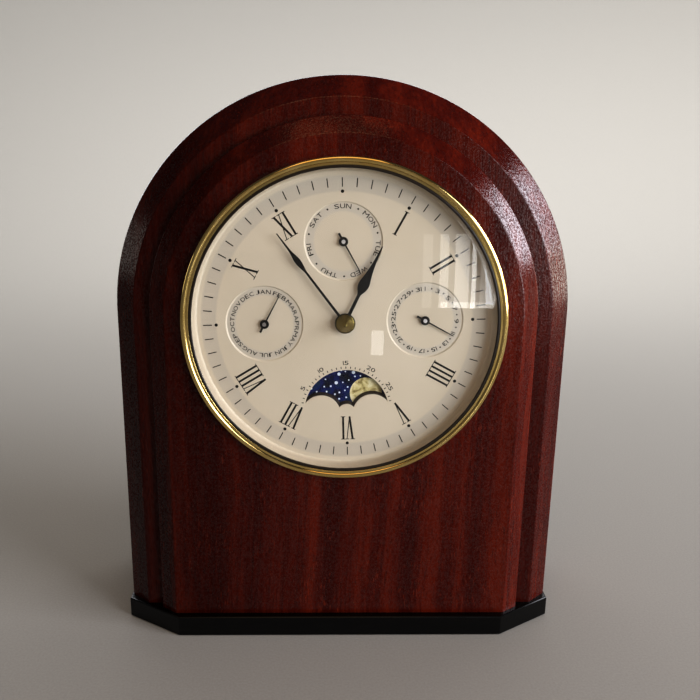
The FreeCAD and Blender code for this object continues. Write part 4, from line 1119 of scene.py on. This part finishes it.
def makeDoorKnob():
    low, high = nodeBox("door_knob")
    base, middle = doorHigh.y, (low + high) / 2
    turning = [(radius, base + up, *edge) for radius, up, *edge in knobTurning]
    knob = turned([(0, base)] + turning + [(0, high.y)], 96, 6, (middle.x, middle.z))
    addPiece("door_knob_turned", knob, casePlace, knobBrass, "rear_door_set",
             ["door_knob"], 50)


hinge = {
    "length": 22.0, "knuckles": 5, "barrel": 2.0, "pin": 1.0, "gap": 0.12,
    "root": 2.4, "leaf": 6.0, "sheet": 1.0, "lift": 0.3, "corner": 1.1,
    "screws": (0.22, 0.78),         # shares of the length
    "head": 1.5, "headHeight": 0.8, "shank": 0.7, "reach": 6.0, "slotWidth": 0.48, "slotDepth": 0.4,
}
pinLow, pinHigh = nodeBox("hinge_pins")
hingeX, hingeY = (pinLow.x + pinHigh.x) / 2, (pinLow.y + pinHigh.y) / 2
hingeFeet = (pinLow.z, pinHigh.z - hinge["length"])


def upright(radius, low, high, x, y, edge=0.0):
    bar = rod(radius, low, high, steps=40, edge=edge)
    bar.transform(Matrix.Translation((x, y, 0)) @ Matrix.Rotation(math.pi / 2, 4, "X"))
    return bar


def hingeLeaf(side, first, foot):
    # a rolled leaf: a plate with rounded corners, every second knuckle, and two countersunk holes
    back, sheet = doorHigh.y, hinge["sheet"]
    outer = hingeX + side * (hinge["root"] + hinge["leaf"])
    near, far = sorted((hingeX + side * hinge["root"], outer))
    leaf = box((near, back, foot), (far, back + sheet, foot + hinge["length"]))
    corners = [edge for edge in leaf.edges if edgeRun(edge, 2) < 0.01
               and all(abs(vert.co.x - outer) < 0.01 for vert in edge.verts)]
    bevelEdges(leaf, corners, hinge["corner"], 5)
    easeEdges(leaf, 0.15, 2, 40, lambda edge: all(vert.co.y > back + sheet - 0.01 for vert in edge.verts))
    parts = []
    pitch = hinge["length"] / hinge["knuckles"]
    for i in range(first, hinge["knuckles"], 2):
        low, high = foot + i * pitch + hinge["gap"], foot + (i + 1) * pitch - hinge["gap"]
        parts.append(upright(hinge["barrel"], low, high, hingeX, hingeY, 0.2))
        # the web stops just short of the knuckle's ends, because faces that meet flush can spoil a union
        webShort = 0.06
        webNear, webFar = sorted((hingeX + side * 0.3, hingeX + side * (hinge["root"] + 0.5)))
        parts.append(box((webNear, back + hinge["lift"], low + webShort),
                         (webFar, back + sheet - 0.02, high - webShort)))
    leaf = carve(leaf, *parts, operation="UNION")
    holes = [upright(hinge["pin"] + 0.04, foot - 1, foot + hinge["length"] + 1, hingeX, hingeY)]
    top, shank = back + sheet, hinge["shank"]
    for share in hinge["screws"]:
        holes.append(turned([(0, back - 1), (shank, back - 1), (shank, top - hinge["headHeight"]),
                             (hinge["head"] + 0.1, top + 0.05), (0, top + 0.05)], 40,
                            at=(hingeX + side * (hinge["root"] + hinge["leaf"] / 2),
                                foot + share * hinge["length"])))
    return carve(leaf, *holes)


def slottedScrew(x, z, slotAngle):
    # countersunk screw whose slotted face looks to the back
    head, shank, top = hinge["head"], hinge["shank"], doorHigh.y + hinge["sheet"]
    tip, half = top - hinge["reach"], hinge["slotWidth"] / 2
    screw = turned([(0, top), (head, top, 0.08), (shank, top - hinge["headHeight"]), (shank, tip),
                    (0, tip)], 40, 2)
    slot = box((-head - 1, top - hinge["slotDepth"], -half), (head + 1, top + 1, half))
    slot.transform(Matrix.Rotation(math.radians(slotAngle), 4, "Y"))
    screw = carve(screw, slot)
    bmesh.ops.translate(screw, vec=(x, 0, z), verts=screw.verts)
    return screw


def makeHinges():
    places = [foot + share * hinge["length"] for foot in hingeFeet for share in hinge["screws"]]
    for name, side, first, body in (("case", 1, 0, "clock_case"), ("door", -1, 1, "rear_door_set")):
        leaves = join(*[hingeLeaf(side, first, foot) for foot in hingeFeet])
        addPiece("hinge_leaves_" + name + "_rolled", leaves, casePlace, rolledBrass, body,
                 ["hinge_leaves_" + name], 40)
        x = hingeX + side * (hinge["root"] + hinge["leaf"] / 2)
        # each screw stopped at its own angle
        screws = [slottedScrew(x, z, 17 + 61 * i + 30 * side) for i, z in enumerate(places)]
        addPiece("hinge_screws_" + name + "_slotted", join(*screws), casePlace, turnedBrass, body,
                 ["hinge_screws_" + name], 35)
    pins = [upright(hinge["pin"], foot, foot + hinge["length"], hingeX, hingeY, 0.3)
            for foot in hingeFeet]
    addPiece("hinge_pins_turned", join(*pins), casePlace, turnedBrass, "clock_case",
             ["hinge_pins"], 40)


catch = {
    "edge": 0.5, "poleProud": 0.6, "poleDepth": 5.0, "poleInset": 2.4, "poleEnds": 2.5,
    "poleThickness": 1.2,
    "plateCorner": 1.4, "plateEdge": 0.12, "dish": 1.9, "slotHalf": (1.3, 0.25),
}


def makeCatch():
    # magnetic catch: a moulded block with two steel pole plates, and the plate it holds on the door
    low, high = nodeBox("catch_magnet")
    block = easeEdges(box(low, (high.x, high.y - catch["poleProud"], high.z)), catch["edge"], 3)
    addPiece("catch_block", block, casePlace, blackPlastic, "clock_case",
             ["catch_magnet"], 40)
    inset, thick, ends = catch["poleInset"], catch["poleThickness"], catch["poleEnds"]
    start = high.y - catch["poleDepth"]
    poles = [box((x, start, low.z + ends), (x + thick, high.y, high.z - ends))
             for x in (low.x + inset, high.x - inset - thick)]
    poles = join(*[easeEdges(pole, catch["plateEdge"]) for pole in poles])
    addPiece("catch_poles", poles, casePlace, zincSteel, "clock_case", ["catch_magnet"], 40)
    low, high = nodeBox("catch_plate")
    front, x, z = low.y, (low.x + high.x) / 2, (low.z + high.z) / 2
    plate = box(low, high)
    bevelEdges(plate, [edge for edge in plate.edges if edgeRun(edge, 1) > 0.1], catch["plateCorner"], 5)
    easeEdges(plate, catch["plateEdge"], 2, 40,
              lambda edge: all(vert.co.y < front + 0.01 for vert in edge.verts))
    dish = turned([(0, front - 0.05), (catch["dish"], front - 0.05), (catch["dish"] - 0.7, front + 0.3),
                   (0, front + 0.3)], 40, at=(x, z))
    long, half = catch["slotHalf"]
    slot = box((x - long, front + 0.1, z - half), (x + long, front + 0.45, z + half))
    addPiece("catch_plate_pressed", carve(plate, dish, slot), casePlace, zincSteel, "rear_door_set",
             ["catch_plate"], 40)


makeDoorKnob()
makeHinges()
makeCatch()
print("door fittings made")

# quartz movement, its cell and its setting wheel

movement = {
    "half": 28.0, "front": 15.6, "back": 31.6, "corner": 3.0, "edge": 0.9,
    "seam": (21.0, 21.5), "seamDepth": 0.4,
    "bayHalf": 26.05, "bayLow": -26.4, "bayHigh": -11.4, "bayFloor": 16.4, "scoop": 8.0,
    "wheelZ": 11.0, "wheelRecess": 8.6, "recessDepth": 0.5,
    "markRise": 0.3, "markWidth": 0.7,
    "polarity": [((20.6, -8.6), (23.4, -8.6)), ((22.0, -10.0), (22.0, -7.2)),
                 ((-23.4, -8.6), (-20.6, -8.6))],
    "arrowX": 12.5, "arrowWing": (1.6, 2.2), "gripHalf": 9.0, "grips": (22.4, 24.0, 25.6),
}
cell = {
    "radius": 7.1, "can": 6.85, "start": -25.25, "length": 49.2, "nub": 2.6, "nubLength": 1.3,
    "depth": 23.9, "z": -18.9, "jacketStart": 0.7, "jacketEnd": 1.1,
}
wheel = {
    "radius": 6.0, "front": 31.9, "back": 36.9, "flutes": 12, "flute": 1.2, "edge": 0.6,
    "dish": 3.2, "dishDepth": 0.7, "stem": 1.5, "stemFront": 26.7,
}


def raisedMark(points):
    # moulded strokes that stand up from the back of the housing
    bm = bmesh.new()
    level, rise, width = movement["back"], movement["markRise"], movement["markWidth"]
    for (x1, z1), (x2, z2) in points:
        a, b = Vector((x1, 0, z1)), Vector((x2, 0, z2))
        size = Matrix.Diagonal((width, rise + 0.2, (b - a).length + width, 1))
        middle = (a + b) / 2 + Vector((0, level + rise / 2 - 0.1, 0))
        turn = Matrix.Rotation(math.atan2(b.x - a.x, b.z - a.z), 4, "Y")
        bmesh.ops.create_cube(bm, size=1, matrix=Matrix.Translation(middle) @ turn @ size)
    return bm


def makeMovementHousing():
    # a moulded tray and lid with the seam between them, the cell bay and its finger scoop, a dished seat
    # for the setting wheel, polarity marks and grip ribs
    half, front, back = movement["half"], movement["front"], movement["back"]
    housing = box((-half, front, -half), (half, back, half))
    bevelEdges(housing, [edge for edge in housing.edges if edgeRun(edge, 1) > 1], movement["corner"], 6)
    easeEdges(housing, movement["edge"], 3, 40,
              lambda edge: all(vert.co.y > back - 0.01 for vert in edge.verts))
    inner, outer = half - movement["seamDepth"], half + 1
    seamLow, seamHigh = movement["seam"]
    seam = carve(box((-outer, seamLow, -outer), (outer, seamHigh, outer)),
                 box((-inner, front, -inner), (inner, back, inner)))
    bay = box((-movement["bayHalf"], movement["bayFloor"], movement["bayLow"]),
              (movement["bayHalf"], back + 1, movement["bayHigh"]))
    scoop = rod(movement["scoop"], back - 6, back + 1, 0, movement["bayLow"] - 2.5, 48)
    wheelZ = movement["wheelZ"]
    seat = rod(movement["wheelRecess"], back - movement["recessDepth"], back + 1, 0, wheelZ, 64)
    stemHole = rod(wheel["stem"] + 0.05, wheel["stemFront"] - 1, back + 1, 0, wheelZ, 32)
    housing = carve(housing, seam, bay, scoop, seat, stemHole)
    marks = list(movement["polarity"])
    wingX, wingZ = movement["arrowWing"]
    for side in (-1, 1):        # an arrowhead each side of the wheel, for the way it turns
        x, z = side * movement["arrowX"], wheelZ
        marks += [((x, z), (x - wingX, z - side * wingZ)), ((x, z), (x + wingX, z - side * wingZ))]
    marks += [((-movement["gripHalf"], z), (movement["gripHalf"], z)) for z in movement["grips"]]
    addPiece("movement_housing", join(housing, raisedMark(marks)), dialPlace, blackPlastic, "clock_case",
             ["movement_case"], 35)


def makeCell():
    # the steel can with its rolled ends and nub, and the printed jacket round it
    body, nub, end, tip = cell["can"], cell["nub"], cell["length"], cell["length"] + cell["nubLength"]
    lay = Matrix.Translation((cell["start"], cell["depth"], cell["z"]))
    lay = lay @ Matrix.Rotation(-math.pi / 2, 4, "Z")
    can = turned([(0, 0.3), (4.6, 0.3, 0.2), (5.2, 0, 0.2), (body, 0, 0.4), (body, end - 0.9, 0.3),
                  (6.2, end - 0.35, 0.2), (3.4, end - 0.3), (3.1, end, 0.1), (nub, end, 0.1),
                  (nub, tip, 0.35), (0, tip)], 72, 4)
    can.transform(lay)
    addPiece("cell_can", can, dialPlace, zincSteel, "clock_case", ["battery"], 40)
    outer, inner, start, end = cell["radius"], body - 0.1, cell["jacketStart"], end - cell["jacketEnd"]
    jacket = turned([(inner, start), (outer, start, 0.12), (outer, end, 0.12), (inner, end)], 72, 3)
    jacket.transform(lay)
    addPiece("cell_jacket_tube", jacket, dialPlace, cellJacket, "clock_case",
             ["battery"], 40)


def makeSettingWheel():
    # moulded thumb wheel: its flutes, a dished face and its stem
    z, front, back = movement["wheelZ"], wheel["front"], wheel["back"]
    knob = rod(wheel["radius"], front, back, 0, z, 96, wheel["edge"])
    around = wheel["radius"] + wheel["flute"] / 2
    angles = [i * 2 * math.pi / wheel["flutes"] for i in range(wheel["flutes"])]
    flutes = [rod(wheel["flute"], front - 1, back + 1, around * math.sin(angle),
                  z + around * math.cos(angle), 24) for angle in angles]
    floor, brim = back - wheel["dishDepth"], back + 0.2
    dish = turned([(0, floor), (wheel["dish"], floor), (wheel["dish"] + 0.6, brim), (0, brim)], 64,
                  at=(0, z))
    knob = carve(knob, *flutes, dish)
    knob = join(knob, rod(wheel["stem"], wheel["stemFront"], front + 0.2, 0, z, 32))
    addPiece("setting_wheel", knob, dialPlace, blackPlastic, "setting_knob_set",
             ["setting_knob"], 35)


makeMovementHousing()
makeCell()
makeSettingWheel()
print("movement, cell and setting wheel made")

# the other pieces keep their shape and get their finish

finishes = {
    mahoganyBase: ["bottom_board"],
    turnedBrass: ["dial_straps", "centre_bush", "hex_nut", "works_pillars", "day_wheel_posts",
                  "hour_pipe", "minute_arbor", "moon_arbor"],
    zincSteel: ["plinth_screws", "pillar_screws", "strap_screws", "battery_contacts"],
    nickelPin: ["weekday_arbor", "month_arbor", "date_arbor"],
    blackPlastic: ["works_plate"],
    whitePlastic: ["hour_wheel", "day_wheel", "moon_day_wheel", "weekday_star", "month_star", "date_star",
                   "moon_wheel", "weekday_corrector", "month_corrector", "date_corrector",
                   "moon_corrector"],
}
for material, nodes in finishes.items():
    for node in nodes:
        mesh = frame["nodes"][node].data
        mesh.materials.clear()
        mesh.materials.append(material)
print("finishes given to the remaining pieces")

# floor, backdrop, lights and camera

studio = {
    "paper": "#a19e98", "paperShade": "#9a9791", "wallRadius": 3.2, "wallHeight": 3.4, "sweep": 2.2,
    "air": "#d2d2d6", "airStrength": 0.14,
    "cameraPlace": (-0.00902, -0.3860, 0.2346), "pitch": 13.9, "yaw": 1.92, "roll": 0.97, "lens": 38.6,
}
# name: (degrees to the right, degrees up, distance, size, power, colour, aim, what it lights), in metres
# and watts
lampPlan = {
    "window light": (48, 11, 0.95, (0.68, 0.57), 8.7, "#f4f8ff", (0, 0, 0.14), "clock"),
    "side window": (82, 20, 1.0, (0.34, 0.42), 8.6, "#f4f5ff", (0, 0, 0.17), "clock"),
    "right wall": (94, 8, 0.8, (0.9, 0.6), 0.85, "#fff3df", (0, 0, 0.16), "clock"),
    "low window": (103, 3, 0.9, (0.22, 0.24), 1.45, "#fff8ec", (0, 0, 0.16), "clock"),
    "ceiling": (-4, 52, 1.3, (0.8, 0.9), 3.3, "#ffd4a2", (0, 0, 0.2), "all"),
    "room glow": (-3, 14, 1.5, (1.7, 0.7), 0.6, "#ffd9b0", (0, 0, 0.2), "all"),
    "left glow": (-95, 7, 1.2, (0.35, 0.3), 0.6, "#fff6ea", (0, 0, 0.18), "clock"),
    "back light": (176, 30, 1.4, (1.0, 0.8), 9.0, "#f6f8ff", (0, 0, 0.15), "clock"),
    "left back light": (-137, 24, 1.3, (0.7, 0.8), 11.0, "#f6f8ff", (0, 0, 0.15), "clock"),
    "floor light": (62, 34, 2.0, (1.1, 0.9), 38.0, "#f4f6ff", (0, 0, 0.0), "paper"),
    "overhead light": (0, 88, 2.9, (3.4, 3.4), 12.0, "#fbfbff", (0, 0, 0.0), "paper"),
    "wall light": (0, 48, 1.9, (2.4, 1.2), 64.0, "#fdfdff", (0.3, 2.4, 0.1), "all"),
    "pane 1": (15.7, -2.0, 0.9, (0.03, 0.227), 0.021, "#ffffff", (0.03, 0, 0.19), "all"),
    "pane 2": (19.0, -2.0, 0.9, (0.028, 0.227), 0.061, "#ffffff", (0.03, 0, 0.19), "all"),
    "pane 3": (22.6, -2.0, 0.9, (0.045, 0.227), 0.122, "#ffffff", (0.03, 0, 0.19), "all"),
    "pane 4": (25.0, -2.0, 0.9, (0.014, 0.227), 0.079, "#ffffff", (0.03, 0, 0.19), "all"),
    "pane 5": (28.4, -2.0, 0.9, (0.066, 0.227), 0.131, "#ffffff", (0.03, 0, 0.19), "all"),
    "window sill": (24.6, -8.6, 0.9, (0.19, 0.018), 0.044, "#ffffff", (0.03, 0, 0.19), "all"),
    "far window": (4.9, -17.4, 0.5, (0.023, 0.047), 0.013, "#ffffff", (0.03, 0, 0.19), "clock"),
}


def makeStage():
    # pale paper: a flat floor that sweeps up into a wall far behind
    material, shader = newMaterial("pale backdrop paper", Roughness=0.9)
    where = addNode(material, "TexCoord").outputs["Object"]
    cloud = addNode(material, "TexNoise", {"Vector": where, "Scale": 900, "Detail": 2})
    tone = addNode(material, "ValToRGB", {"Fac": cloud}, [(0.3, studio["paperShade"]),
                                                          (0.7, studio["paper"])])
    setInputs(shader, {"Base Color": tone})
    bm = bmesh.new()
    reach, height = studio["wallRadius"], studio["wallHeight"]
    verts = [bm.verts.new((x, 0, z)) for x, z in ((0, 0), (reach, 0), (reach, height))]
    for pair in zip(verts, verts[1:]):
        bm.edges.new(pair)
    rounded(bm, [(verts[1], studio["sweep"])], 24)
    spinRound(bm, 96, (0, 0, 1))
    bmesh.ops.reverse_faces(bm, faces=bm.faces)     # the floor and the wall are seen from inside
    mesh = bpy.data.meshes.new("stage")
    bm.to_mesh(mesh)
    bm.free()
    mesh.shade_smooth()
    mesh.materials.append(material)
    stage = bpy.data.objects.new("stage", mesh)
    scene.collection.objects.link(stage)
    return stage


def linked(stage, state):
    # what a lamp lights: only the paper, or all but the paper
    lit = bpy.data.collections.new("lit " + state.lower())
    lit.objects.link(stage)
    lit.collection_objects[0].light_linking.link_state = state
    return lit


def addLamp(name, right, up, distance, size, power, colour, aim, lights):
    lamp = bpy.data.lights.new(name, "AREA")
    lamp.shape = "RECTANGLE"
    lamp.size, lamp.size_y = size
    lamp.energy = power
    lamp.color = hexColour(colour)[:3]
    holder = bpy.data.objects.new(name, lamp)
    scene.collection.objects.link(holder)
    right, up = math.radians(right), math.radians(up)
    away = Vector((math.sin(right) * math.cos(up), -math.cos(right) * math.cos(up), math.sin(up)))
    holder.location = Vector(aim) + away * distance
    holder.rotation_euler = away.to_track_quat("Z", "Y").to_euler()
    holder.visible_camera = False
    if lights in litBy:     # the near windows would burn out the floor, so it has its own lamp
        holder.light_linking.receiver_collection = litBy[lights]


stage = makeStage()
litBy = {"paper": linked(stage, "INCLUDE"), "clock": linked(stage, "EXCLUDE")}
for name, plan in lampPlan.items():
    addLamp(name, *plan)

world = bpy.data.worlds.new("studio air")
world.use_nodes = True
setInputs(world.node_tree.nodes["Background"], {"Color": hexColour(studio["air"]),
                                                "Strength": studio["airStrength"]})
scene.world = world

camera = bpy.data.cameras.new("camera")
camera.lens = studio["lens"]
camera.sensor_width = 36
cameraHolder = bpy.data.objects.new("camera", camera)
scene.collection.objects.link(cameraHolder)
cameraHolder.matrix_world = Matrix.Translation(studio["cameraPlace"]) \
    @ Matrix.Rotation(math.radians(-studio["yaw"]), 4, "Z") \
    @ Matrix.Rotation(math.radians(90 - studio["pitch"]), 4, "X") \
    @ Matrix.Rotation(math.radians(studio["roll"]), 4, "Z")
scene.camera = cameraHolder
scene.view_settings.view_transform = "Standard"
scene.view_settings.gamma = 0.8
print("stage, lamps and camera set")
